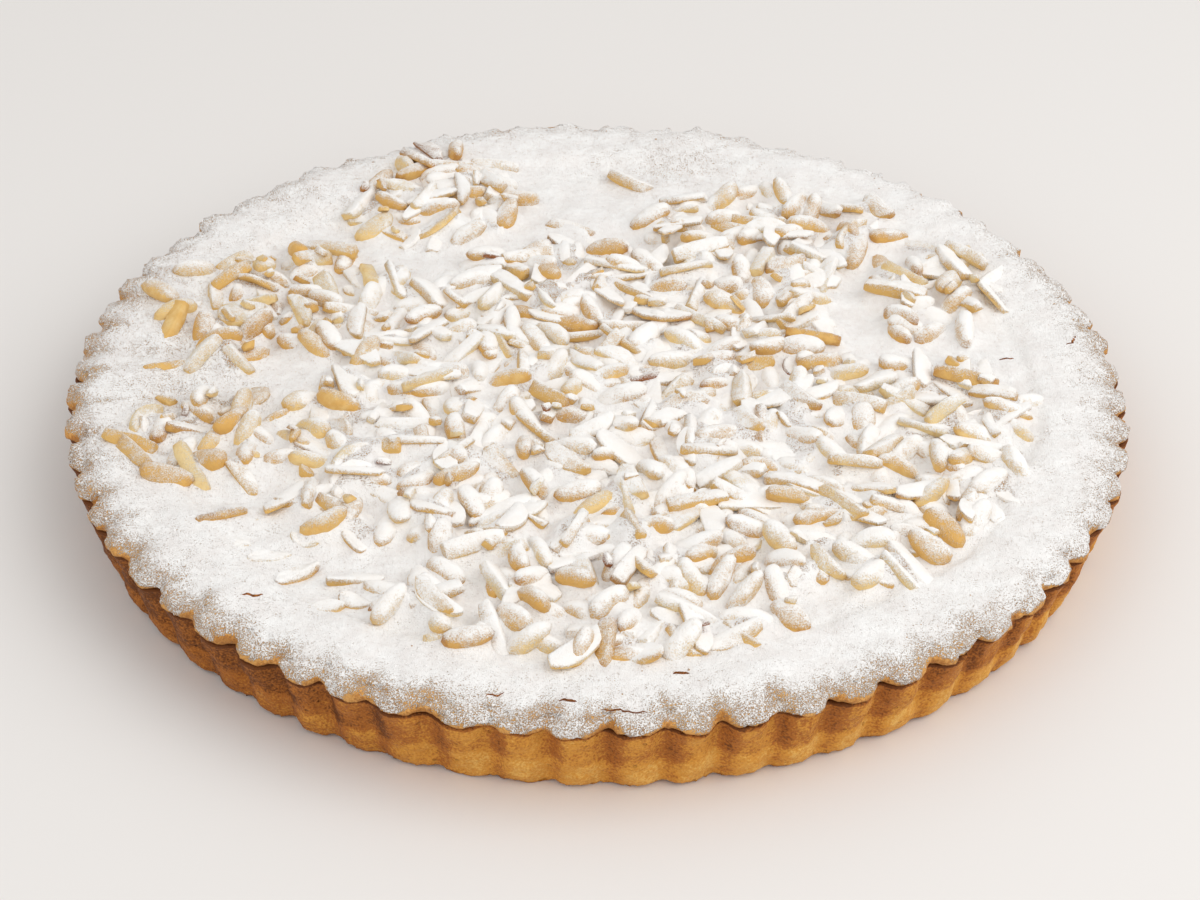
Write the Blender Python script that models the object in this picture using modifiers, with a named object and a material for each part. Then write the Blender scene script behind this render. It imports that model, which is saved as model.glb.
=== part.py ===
"""Torta della nonna: a fluted tart case with a pastry lid pressed on top, and pine nuts and almonds on the lid.

Metres, +Z up, origin at the centre of the flat base. The tart stands on its base. +Y points away from
the side that faces the viewer, +X to the viewer's right.
"""

import math
import random
from dataclasses import dataclass

import bmesh
import bpy
import numpy as np
from mathutils import Matrix, Vector, noise

COLLECTION = "torta_della_nonna"

# Driving dimensions
RIM_RADIUS = 0.140
CASE_HEIGHT = 0.0208
LID_GAP = 0.0003
LID_EDGE = 0.0024
BASE_SHARE = 0.946
CASE_TOP_SHARE = 0.995
LID_BOTTOM_SHARE = 0.998

# The flutes of the tin, which press into the case and the lid's edge
FLUTES = 64
VALLEY_ANGLE = math.radians(-105.8)
VALLEY_SHARPNESS = 1.4
TOP_FLUTE_DEPTH = 0.0040
BASE_FLUTE_DEPTH = 0.0022
COLUMNS_PER_FLUTE = 5

# The lid's top, as radius in shares of the rim and height above the lid's outer top edge
LID_STOPS = ((0.0, 0.0004), (0.820, 0.0004), (0.935, 0.0026), (1.0, 0.0))
FLUTED_FROM, FLUTED_FULLY = 0.925, 0.990
LUMPY_FROM = 0.830
WAVED_FROM, WAVED_FULLY = 0.945, 0.970
LUMP_RISE = 0.0006
LUMP_PUSH = 0.0005
LUMPS_ROUND = 5.0
EDGE_WAVE = 0.0007

# Nuts: the kinds' (shortest, longest), (narrowest, widest) and (thinnest, thickest)
NUT_SIZES = {
    "pine": ((0.0104, 0.0130), (0.0052, 0.0063), (0.0047, 0.0056)),
    "sliver": ((0.0120, 0.0175), (0.0037, 0.0050), (0.0029, 0.0038)),
    "flake": ((0.0130, 0.0195), (0.0078, 0.0110), (0.0016, 0.0021)),
}
NUT_SHARES = (("pine", 0.66), ("sliver", 0.88), ("flake", 1.0))
NUT_SEED = 11
THROWS = 5200
BOTTOM_LAYER = 160
LARGE_NUTS = 196
FIELD_REACH = 0.9

# How a nut settles on what is under it
FIELD_STEP = 0.0005
TOUCHING = 0.0004
MOST_COVERED_BELOW, MOST_COVERED_ABOVE = 0.12, 0.60
REST_PERCENTILE = 85
END_SHARE = 0.2
END_SPACING = 0.6
SUNK_SHARE = 0.24
MOST_PITCH = math.radians(24)
MOST_ROLL = math.radians(20)
HEAP_TOP = 0.0322

# Where the nuts lie, in shares of the rim radius: centre x, centre y, half-width, half-depth, how thickly
NUT_PATCHES = (
    (0.08, -0.12, 0.70, 0.61, 1.00),
    (-0.34, 0.66, 0.17, 0.18, 0.90),
    (0.36, 0.56, 0.26, 0.15, 0.55),
    (0.66, 0.30, 0.13, 0.17, 0.80),
    (-0.62, 0.22, 0.27, 0.22, 0.75),
    (-0.68, -0.20, 0.20, 0.15, 0.70),
    (-0.02, -0.68, 0.38, 0.15, 0.60),
)
PATCH_EDGE = (-0.06, 0.14)
BARE_PATCHES = (
    (-0.38, 0.40, 0.10, 0.09),
    (0.50, 0.24, 0.07, 0.12),
    (0.60, 0.10, 0.15, 0.06),
    (-0.55, 0.02, 0.11, 0.06),
    (-0.40, -0.56, 0.12, 0.07),
)
BARE_EDGE = (-0.25, 0.15)
# Single nuts that lie apart: kind, x and y in shares of the rim radius, heading in degrees
STRAYS = (
    ("sliver", 0.06, 0.74, -38),
    ("sliver", -0.06, 0.55, -30),
    ("sliver", -0.41, -0.62, 4),
    ("sliver", -0.24, -0.78, 0),
    ("pine", -0.77, -0.34, -12),
    ("pine", 0.06, -0.82, 4),
    ("sliver", -0.82, 0.02, 25),
    ("flake", -0.66, -0.45, 30),
    ("pine", 0.74, 0.42, 40),
)

# How the coarse nut shapes differ from an even ball, baton and disc
PINE_TAPER = 0.28
SLIVER_TOP_LENGTH, SLIVER_TOP_WIDTH, SLIVER_END_WIDTH = 0.90, 0.62, 0.80
FLAKE_TOP, FLAKE_TAPER = 0.94, 0.22

MERGE = 0.000002
AXIS_REACH = 0.001


@dataclass
class Nut:
    """One nut: its kind, place and sizes in metres, and its turn about Z, across itself and about its length."""

    kind: str
    x: float
    y: float
    heading: float
    length: float
    width: float
    thick: float
    roll: float
    z: float = 0.0
    pitch: float = 0.0


def clear_scene():
    """Removes whatever the file opened with."""
    for obj in list(bpy.data.objects):
        bpy.data.objects.remove(obj, do_unlink=True)


def material(name, colour, roughness):
    """A plain surface in the colour that shows in the photograph."""
    made = bpy.data.materials.new(name)
    made.use_nodes = True
    shader = made.node_tree.nodes["Principled BSDF"]
    shader.inputs["Base Color"].default_value = (*colour, 1.0)
    shader.inputs["Roughness"].default_value = roughness
    shader.inputs["Metallic"].default_value = 0.0
    return made


def smooth_step(low, high, value):
    """0 below low, 1 above high, with a soft turn between."""
    share = min(1.0, max(0.0, (value - low) / (high - low)))
    return share * share * (3.0 - 2.0 * share)


def flute(angle):
    """0 on the crest of a flute and 1 in the valley between two; the crests are broader than the valleys."""
    return (0.5 + 0.5 * math.cos(FLUTES * (angle - VALLEY_ANGLE))) ** VALLEY_SHARPNESS


def lump(angle, layer):
    """A slow wobble round the rim, from -1 to 1, because no two stretches of hand-pressed pastry are alike."""
    return noise.noise(Vector((math.cos(angle) * LUMPS_ROUND, math.sin(angle) * LUMPS_ROUND, layer)))


def lid_top(radius):
    """Height of the lid's top at a distance from the middle, in metres."""
    shares, rises = zip(*LID_STOPS)
    return CASE_HEIGHT + LID_GAP + LID_EDGE + float(np.interp(radius / RIM_RADIUS, shares, rises))


def turned(name, profile, look):
    """A closed solid of revolution round Z, with columns for the flutes.

    The profile holds (radius, height) pairs from the top's middle down the outer side to the bottom's middle.
    """
    mesh = bpy.data.meshes.new(name)
    mesh.from_pydata([(r, 0.0, z) for r, z in profile], [(i, i + 1) for i in range(len(profile) - 1)], [])
    obj = bpy.data.objects.new(name, mesh)
    bpy.data.collections[COLLECTION].objects.link(obj)
    screw = obj.modifiers.new("turn", "SCREW")
    screw.steps = screw.render_steps = FLUTES * COLUMNS_PER_FLUTE
    screw.use_merge_vertices = True
    screw.merge_threshold = 0.00005
    screw.use_smooth_shade = False
    bpy.context.view_layer.objects.active = obj
    bpy.ops.object.modifier_apply(modifier=screw.name)
    mesh.materials.append(look)
    return obj


def press_flutes(obj, depth_at):
    """Moves a turned solid's vertices in to the flutes, by depth_at(radius, height) in the valleys."""
    for vertex in obj.data.vertices:
        x, y, z = vertex.co
        radius = math.hypot(x, y)
        if radius > AXIS_REACH:
            share = 1.0 - depth_at(radius, z) * flute(math.atan2(y, x)) / radius
            vertex.co = (x * share, y * share, z)


def roughen_rim(lid):
    """Gives the lid's raised rim slow lumps, and its edge a wave that rises on each flute's crest."""
    for vertex in lid.data.vertices:
        x, y, z = vertex.co
        share = math.hypot(x, y) / RIM_RADIUS
        if share < LUMPY_FROM or z < CASE_HEIGHT + LID_GAP + LID_EDGE / 2.0:
            continue
        angle = math.atan2(y, x)
        wave = EDGE_WAVE * smooth_step(WAVED_FROM, WAVED_FULLY, share) * (0.5 - flute(angle))
        rise = LUMP_RISE * lump(angle, 0.0) + wave
        push = 1.0 + LUMP_PUSH * lump(angle, 1.0) / RIM_RADIUS
        vertex.co = (x * push, y * push, z + rise)


def make_case(look):
    """The bottom case, filled, as a solid with a fluted wall that leans out from a flat base."""
    profile = (
        (0.0, CASE_HEIGHT),
        (RIM_RADIUS * CASE_TOP_SHARE, CASE_HEIGHT),
        (RIM_RADIUS * BASE_SHARE, 0.0),
        (0.0, 0.0),
    )
    case = turned("pastry_case", profile, look)
    press_flutes(case, lambda radius, z: np.interp(z, (0.0, CASE_HEIGHT), (BASE_FLUTE_DEPTH, TOP_FLUTE_DEPTH)))
    return case


def make_lid(look):
    """The pastry lid: a fluted disc with a raised rim round a shallow floor, a hair above the case."""
    bottom = CASE_HEIGHT + LID_GAP
    profile = [(share * RIM_RADIUS, lid_top(share * RIM_RADIUS)) for share, _ in LID_STOPS]
    profile += [(RIM_RADIUS * LID_BOTTOM_SHARE, bottom), (0.0, bottom)]
    lid = turned("pastry_lid", profile, look)
    press_flutes(lid, lambda r, _: TOP_FLUTE_DEPTH * smooth_step(FLUTED_FROM, FLUTED_FULLY, r / RIM_RADIUS))
    roughen_rim(lid)
    shape = bmesh.new()
    shape.from_mesh(lid.data)
    middles = [vertex for vertex in shape.verts if vertex.co.xy.length < AXIS_REACH]
    bmesh.ops.dissolve_verts(shape, verts=middles)
    shape.to_mesh(lid.data)
    shape.free()
    return lid


def depth_inside(x, y, patch):
    """How deep a point lies in an elliptical patch: 1 at its centre, 0 at its edge, below 0 outside."""
    return 1.0 - math.hypot((x - patch[0]) / patch[2], (y - patch[1]) / patch[3])


def nut_density(x, y):
    """Chance that a nut stays where it fell, from 0 to 1, at a point in shares of the rim radius."""
    kept = max(patch[4] * smooth_step(*PATCH_EDGE, depth_inside(x, y, patch)) for patch in NUT_PATCHES)
    for patch in BARE_PATCHES:
        kept *= 1.0 - smooth_step(*BARE_EDGE, depth_inside(x, y, patch))
    return kept


class HeightField:
    """The heights of the lid and of the nuts that already lie on it, on a square grid."""

    def __init__(self):
        count = int(2.0 * RIM_RADIUS / FIELD_STEP) + 1
        line = np.linspace(-RIM_RADIUS, RIM_RADIUS, count)
        self.floor = np.array([[lid_top(math.hypot(x, y)) for x in line] for y in line])
        self.top = self.floor.copy()

    def cells_under(self, nut):
        """Grid rows and columns under a nut, and each cell's place along and across it, from -1 to 1."""
        reach = int(nut.length / 2.0 / FIELD_STEP) + 2
        row = round((nut.y + RIM_RADIUS) / FIELD_STEP)
        column = round((nut.x + RIM_RADIUS) / FIELD_STEP)
        rows, columns = np.mgrid[row - reach : row + reach + 1, column - reach : column + reach + 1]
        dx = columns * FIELD_STEP - RIM_RADIUS - nut.x
        dy = rows * FIELD_STEP - RIM_RADIUS - nut.y
        cosine, sine = math.cos(nut.heading), math.sin(nut.heading)
        along = (dx * cosine + dy * sine) / (nut.length / 2.0)
        across = (dy * cosine - dx * sine) / (nut.width / 2.0)
        under = along**2 + across**2 < 1.0
        return rows[under], columns[under], along[under], across[under]

    def settle(self, nut, most_covered):
        """Sets the nut's pitch and height so that it lies on what is under it. False where it can't stay."""
        rows, columns, along, across = self.cells_under(nut)
        heights = self.top[rows, columns]
        if np.mean(heights > self.floor[rows, columns] + TOUCHING) > most_covered:
            return False
        tail = np.percentile(heights[along < -END_SHARE], REST_PERCENTILE)
        head = np.percentile(heights[along > END_SHARE], REST_PERCENTILE)
        slope = math.atan2(head - tail, END_SPACING * nut.length)
        nut.pitch = max(-MOST_PITCH, min(MOST_PITCH, slope))
        nut.z = (head + tail) / 2.0 + nut.thick * (0.5 - SUNK_SHARE)
        raised_end = nut.length / 2.0 * abs(math.sin(nut.pitch))
        if nut.z + math.hypot(raised_end, nut.thick / 2.0) > HEAP_TOP:
            return False
        bulge = nut.thick / 2.0 * np.sqrt(np.clip(1.0 - along**2 - across**2, 0.0, 1.0))
        lean = along * nut.length / 2.0 * math.tan(nut.pitch)
        np.maximum.at(self.top, (rows, columns), nut.z + bulge + lean)
        return True


def draw_nut(kind, x, y, heading, draws):
    """One nut of a kind at a place, its sizes drawn between the kind's limits."""
    length, width, thick = (draws.uniform(*limits) for limits in NUT_SIZES[kind])
    most_roll = math.pi if kind == "pine" else MOST_ROLL
    roll = draws.uniform(-most_roll, most_roll)
    return Nut(kind, x * RIM_RADIUS, y * RIM_RADIUS, heading, length, width, thick, roll)


def scatter_nuts():
    """The nuts in the order in which they fell: those that lie apart, then a seeded scatter."""
    draws = random.Random(NUT_SEED)
    field = HeightField()
    nuts = []
    for kind, x, y, degrees in STRAYS:
        nut = draw_nut(kind, x, y, math.radians(degrees), draws)
        if field.settle(nut, MOST_COVERED_BELOW):
            nuts.append(nut)
    for _ in range(THROWS):
        x, y = draws.uniform(-FIELD_REACH, FIELD_REACH), draws.uniform(-FIELD_REACH, FIELD_REACH)
        heading, choice, chance = draws.uniform(0.0, math.tau), draws.random(), draws.random()
        if chance > nut_density(x, y):
            continue
        kind = next(name for name, share in NUT_SHARES if choice <= share)
        nut = draw_nut(kind, x, y, heading, draws)
        if field.settle(nut, MOST_COVERED_BELOW if len(nuts) < BOTTOM_LAYER else MOST_COVERED_ABOVE):
            nuts.append(nut)
        if len(nuts) == LARGE_NUTS:
            break
    return nuts


def nut_shape(kind):
    """A nut of unit half-sizes along X, with few faces: a pointed drop, a cut baton or a thin oval slice."""
    shape = bmesh.new()
    if kind == "pine":
        bmesh.ops.create_uvsphere(shape, u_segments=6, v_segments=4, radius=1.0)
        bmesh.ops.rotate(shape, verts=shape.verts, matrix=Matrix.Rotation(math.pi / 2.0, 3, "Y"))
        for vertex in shape.verts:
            vertex.co.yz *= 1.0 - PINE_TAPER * max(0.0, vertex.co.x)
    elif kind == "sliver":
        bmesh.ops.create_cube(shape, size=2.0)
        for vertex in shape.verts:
            if vertex.co.z > 0.0:
                vertex.co.x *= SLIVER_TOP_LENGTH
                vertex.co.y *= SLIVER_TOP_WIDTH
            if vertex.co.x > 0.0:
                vertex.co.y *= SLIVER_END_WIDTH
    else:
        bmesh.ops.create_cone(shape, cap_ends=True, segments=9, radius1=1.0, radius2=FLAKE_TOP, depth=2.0)
        for vertex in shape.verts:
            vertex.co.y *= 1.0 - FLAKE_TAPER * vertex.co.x
    return shape


def make_nut(nut, collection):
    """A nut as an object at its place, ready to be joined to the lid."""
    shape = nut_shape(nut.kind)
    place = Matrix.Translation((nut.x, nut.y, nut.z))
    place @= Matrix.Rotation(nut.heading, 4, "Z") @ Matrix.Rotation(-nut.pitch, 4, "Y")
    place @= Matrix.Rotation(nut.roll, 4, "X")
    place @= Matrix.Diagonal((nut.length / 2.0, nut.width / 2.0, nut.thick / 2.0, 1.0))
    shape.transform(place)
    mesh = bpy.data.meshes.new("loose_nut")
    shape.to_mesh(mesh)
    shape.free()
    collection.objects.link(bpy.data.objects.new("loose_nut", mesh))


def keep_outer_skin(obj):
    """Drops loose scraps and the skins of sealed hollows, so that one closed solid is left."""
    shape = bmesh.new()
    shape.from_mesh(obj.data)
    bmesh.ops.remove_doubles(shape, verts=shape.verts, dist=MERGE)
    unseen = set(shape.verts)
    bodies = []
    while unseen:
        waiting, body = [unseen.pop()], []
        while waiting:
            vertex = waiting.pop()
            body.append(vertex)
            near = {edge.other_vert(vertex) for edge in vertex.link_edges} & unseen
            unseen -= near
            waiting.extend(near)
        bodies.append(body)
    bodies.sort(key=len)
    for body in bodies[:-1]:
        bmesh.ops.delete(shape, geom=body, context="VERTS")
    shape.to_mesh(obj.data)
    shape.free()


def fuse_nuts(lid, nuts):
    """Joins the nuts to the lid in one Boolean union and removes the nuts' own objects."""
    collection = bpy.data.collections.new("loose_nuts")
    bpy.context.scene.collection.children.link(collection)
    for nut in nuts:
        make_nut(nut, collection)
    union = lid.modifiers.new("nuts", "BOOLEAN")
    union.operation = "UNION"
    union.operand_type = "COLLECTION"
    union.collection = collection
    union.solver = "EXACT"
    union.use_self = True
    bpy.context.view_layer.objects.active = lid
    bpy.ops.object.modifier_apply(modifier=union.name)
    for obj in list(collection.objects):
        bpy.data.objects.remove(obj, do_unlink=True)
    bpy.data.collections.remove(collection)
    keep_outer_skin(lid)


def main():
    """Builds the tart in an empty scene."""
    clear_scene()
    bpy.context.scene.collection.children.link(bpy.data.collections.new(COLLECTION))
    make_case(material("baked_shortcrust", (0.56, 0.27, 0.09), 0.75))
    lid = make_lid(material("sugared_shortcrust", (0.86, 0.82, 0.77), 0.85))
    fuse_nuts(lid, scatter_nuts())


main()
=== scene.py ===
"""Torta della nonna: the looks of a fluted tart dusted with icing sugar, with pine nuts and almonds on top.

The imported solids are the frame. The wall, the lid and the nuts replace them at the same size and place.
Lengths are metres, +Z is up, and the photograph looks along +Y from above.
"""

import logging
import math
import random
from collections.abc import Callable
from dataclasses import dataclass, field
from enum import Enum

import bmesh
import bpy
import numpy as np
from mathutils import Matrix, Vector, noise

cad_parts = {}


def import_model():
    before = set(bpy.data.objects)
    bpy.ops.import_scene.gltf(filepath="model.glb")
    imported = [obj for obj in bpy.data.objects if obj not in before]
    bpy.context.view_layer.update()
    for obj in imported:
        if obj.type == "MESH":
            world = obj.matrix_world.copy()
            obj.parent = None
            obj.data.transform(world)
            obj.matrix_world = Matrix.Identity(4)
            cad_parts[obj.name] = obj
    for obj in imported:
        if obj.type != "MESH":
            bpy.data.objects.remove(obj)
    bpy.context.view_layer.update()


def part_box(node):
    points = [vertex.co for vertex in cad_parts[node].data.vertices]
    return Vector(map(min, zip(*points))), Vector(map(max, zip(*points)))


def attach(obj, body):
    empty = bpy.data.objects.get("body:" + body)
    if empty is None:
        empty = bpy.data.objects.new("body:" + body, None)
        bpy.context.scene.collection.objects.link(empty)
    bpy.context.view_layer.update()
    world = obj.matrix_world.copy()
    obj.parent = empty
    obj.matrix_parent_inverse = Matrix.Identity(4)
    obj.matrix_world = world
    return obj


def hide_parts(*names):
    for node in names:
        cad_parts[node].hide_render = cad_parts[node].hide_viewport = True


LOG = logging.getLogger("torta_della_nonna")
ROOT = "root"
MM = 0.001

# Main sizes, as in the solids
RIM_RADIUS = 0.140
CASE_HEIGHT = 0.0208
LID_GAP = 0.0003
LID_EDGE = 0.0024
LID_BOTTOM = CASE_HEIGHT + LID_GAP
LID_LEVEL = LID_BOTTOM + LID_EDGE
FLOOR_RISE = 0.0004
FLOOR_LEVEL = LID_LEVEL + FLOOR_RISE
BASE_SHARE = 0.946
FLUTES = 64
VALLEY_ANGLE = math.radians(-105.8)

# The flutes, a little shallower and with narrower valleys than in the solids
VALLEY_SHARPNESS = 1.9
TOP_FLUTE_DEPTH = 0.0035
BASE_FLUTE_DEPTH = 0.0014
COLUMNS_A_FLUTE = 15
FINE_COLUMNS = FLUTES * COLUMNS_A_FLUTE

# How close the uneven edge may come to the solids' own, and where it starts to be held back
EDGE_CLEARANCE = 0.25 * MM
EDGE_MARGIN = 0.7 * MM
NOISE_SHIFT = (7.3, 3.1, 5.7)

# How far under the solids' top the nuts stay, as they fall and once they are lumped
SCATTER_CLEARANCE = 0.2 * MM
NUT_CLEARANCE = 0.35 * MM

# A height well over the tart, from which the lid is looked for
OVERHEAD = 0.1

Colour = tuple[float, float, float, float]
Faces = list[tuple[int, ...]]
Shape = tuple[np.ndarray, Faces]
Span = tuple[float, float]
Triple = tuple[float, float, float]


class Layer(Enum):
    """The layers of unevenness: size of the largest lumps in metres, which noise, and how many octaves."""

    CRUST_BAND = (0.016, 2.0, 3)
    CRUST_LUMPS = (0.012, 3.0, 3)
    CRUST_GRAIN = (0.0035, 4.0, 4)
    CRUST_FOOT = (0.003, 5.0, 3)
    LID_LUMPS = (0.014, 6.0, 3)
    LID_CRAGS = (0.0045, 7.0, 4)
    LID_GRAIN = (0.0016, 8.0, 2)
    LID_PATCHES = (0.010, 12.0, 3)
    LID_SWELLS = (0.024, 14.0, 3)
    LID_TORN = (0.0032, 15.0, 4)
    NUT_LUMPS_X = (0.0035, 31.0, 2)
    NUT_LUMPS_Y = (0.0035, 32.0, 2)
    NUT_LUMPS_Z = (0.0035, 33.0, 2)
    NUT_PATCHES = (0.0050, 41.0, 2)
    NUT_FEET = (0.010, 43.0, 2)
    CRACK_PATH = (0.0022, 51.0, 3)


class RoundLayer(Enum):
    """The slow unevenness round the tart: which noise, and how many lumps about a turn."""

    SEAM_SLOW = (3.0, 6.0)
    SEAM_QUICK = (5.0, 26.0)
    FLUTE_PLACES = (9.0, 4.0)
    FLUTE_DEPTHS = (17.0, 9.0)
    LID_BORDER = (21.0, 3.0)
    CRUST_BAND = (27.0, 3.0)


def smooth_step(low: float, high: float, value: np.ndarray) -> np.ndarray:
    """Rises softly from 0 at low to 1 at high.

    Args:
        low: Where the rise starts.
        high: Where it ends.
        value: The numbers to test.

    Returns:
        One number from 0 to 1 for each value.
    """
    share = np.clip((value - low) / (high - low), 0.0, 1.0)
    return share * share * (3.0 - 2.0 * share)


def flute(angle: np.ndarray) -> np.ndarray:
    """0 on the crest of a flute and 1 in the valley between two, at each angle round the tart."""
    return (0.5 + 0.5 * np.cos(FLUTES * (angle - VALLEY_ANGLE))) ** VALLEY_SHARPNESS


def noise_at(points: np.ndarray, layer: Layer) -> np.ndarray:
    """Fractal noise at each point.

    Args:
        points: One row of x, y, z for each point, in metres.
        layer: Which unevenness is read.

    Returns:
        One number from about -1 to 1 for each point.
    """
    size, seed, octaves = layer.value
    shift = Vector([seed * step for step in NOISE_SHIFT])
    return np.array([noise.fractal(Vector(p) / size + shift, 1.0, 2.0, octaves) for p in points])


def noise_round(angle: np.ndarray, layer: RoundLayer) -> np.ndarray:
    """Slow noise round the tart, from -1 to 1, at each angle."""
    seed, count = layer.value
    ring = zip(np.cos(angle) * count, np.sin(angle) * count)
    return np.array([noise.noise(Vector((c, s, seed))) for c, s in ring])


def hold_inside(radius: np.ndarray) -> np.ndarray:
    """Softly holds distances from the middle below the rim's own radius.

    Args:
        radius: Distances from the middle, in metres.

    Returns:
        The same distances, none past the solids' edge.
    """
    free = RIM_RADIUS - EDGE_CLEARANCE - EDGE_MARGIN
    beyond = np.maximum(radius - free, 0.0)
    return np.minimum(radius, free) + EDGE_MARGIN * np.tanh(beyond / EDGE_MARGIN)


def polar(points: np.ndarray) -> tuple[np.ndarray, np.ndarray]:
    """Distance from the middle and angle round it for each point."""
    return np.hypot(points[:, 0], points[:, 1]), np.arctan2(points[:, 1], points[:, 0])


def set_radius(points: np.ndarray, radius: np.ndarray, moved: np.ndarray) -> None:
    """Moves points straight in or out, from one distance from the middle to another."""
    share = np.where(radius > MM, moved / np.maximum(radius, MM), 1.0)
    points[:, 0] *= share
    points[:, 1] *= share


def read_points(obj: bpy.types.Object) -> np.ndarray:
    """A mesh's vertices as rows of x, y, z."""
    flat = np.empty(len(obj.data.vertices) * 3)
    obj.data.vertices.foreach_get("co", flat)
    return flat.reshape(-1, 3)


def write_points(obj: bpy.types.Object, points: np.ndarray) -> None:
    """Moves a mesh's vertices to rows of x, y, z."""
    obj.data.vertices.foreach_set("co", points.astype(np.float32).ravel())
    obj.data.update()


def write_values(obj: bpy.types.Object, name: str, values: np.ndarray) -> None:
    """Stores one number for each vertex, which a material reads by name."""
    layer = obj.data.attributes.new(name, "FLOAT", "POINT")
    layer.data.foreach_set("value", values.astype(np.float32))


def deselect_all() -> None:
    """Leaves nothing selected, in object mode."""
    if bpy.context.object is not None and bpy.context.object.mode != "OBJECT":
        bpy.ops.object.mode_set(mode="OBJECT")
    bpy.ops.object.select_all(action="DESELECT")


def linear(red: int, green: int, blue: int) -> Colour:
    """A screen colour from 0 to 255 as the shader's linear colour."""

    def channel(value: int) -> float:
        """One channel, made linear."""
        share = value / 255.0
        return share / 12.92 if share <= 0.04045 else ((share + 0.055) / 1.055) ** 2.4

    return channel(red), channel(green), channel(blue), 1.0


class NutKind(Enum):
    """What lies on the lid."""

    PINE = "pine"
    SLIVER = "sliver"
    FLAKE = "flake"
    SHARD = "shard"
    HALF = "half"


@dataclass
class Nut:
    """One nut as it lies: sizes and place in metres, turns in radians, and how much sugar it caught."""

    kind: NutKind
    x: float
    y: float
    heading: float
    length: float
    width: float
    thick: float
    roll: float
    z: float = 0.0
    pitch: float = 0.0
    cover: float = 0.5

    def place(self) -> Matrix:
        """The matrix that sets a shape of unit half-sizes where this nut lies."""
        spot = Matrix.Translation((self.x, self.y, self.z))
        turned = Matrix.Rotation(self.heading, 4, "Z") @ Matrix.Rotation(-self.pitch, 4, "Y")
        sized = Matrix.Diagonal((self.length / 2.0, self.width / 2.0, self.thick / 2.0, 1.0))
        return spot @ turned @ Matrix.Rotation(self.roll, 4, "X") @ sized

    def resize(self, along: float, across: float, thick: float) -> None:
        """Multiplies the nut's three sizes."""
        self.length *= along
        self.width *= across
        self.thick *= thick


@dataclass(frozen=True)
class SettleRule:
    """How a nut comes to rest on what is under it."""

    step: float = 0.0005
    touching: float = 0.0004
    percentile: float = 85.0
    end_share: float = 0.2
    end_spacing: float = 0.6
    sunk_share: float = 0.24
    most_pitch: float = math.radians(24)
    heap_top: float = 0.0322
    drift_share: float = 0.78
    drift_spread: float = 0.0016


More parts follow.
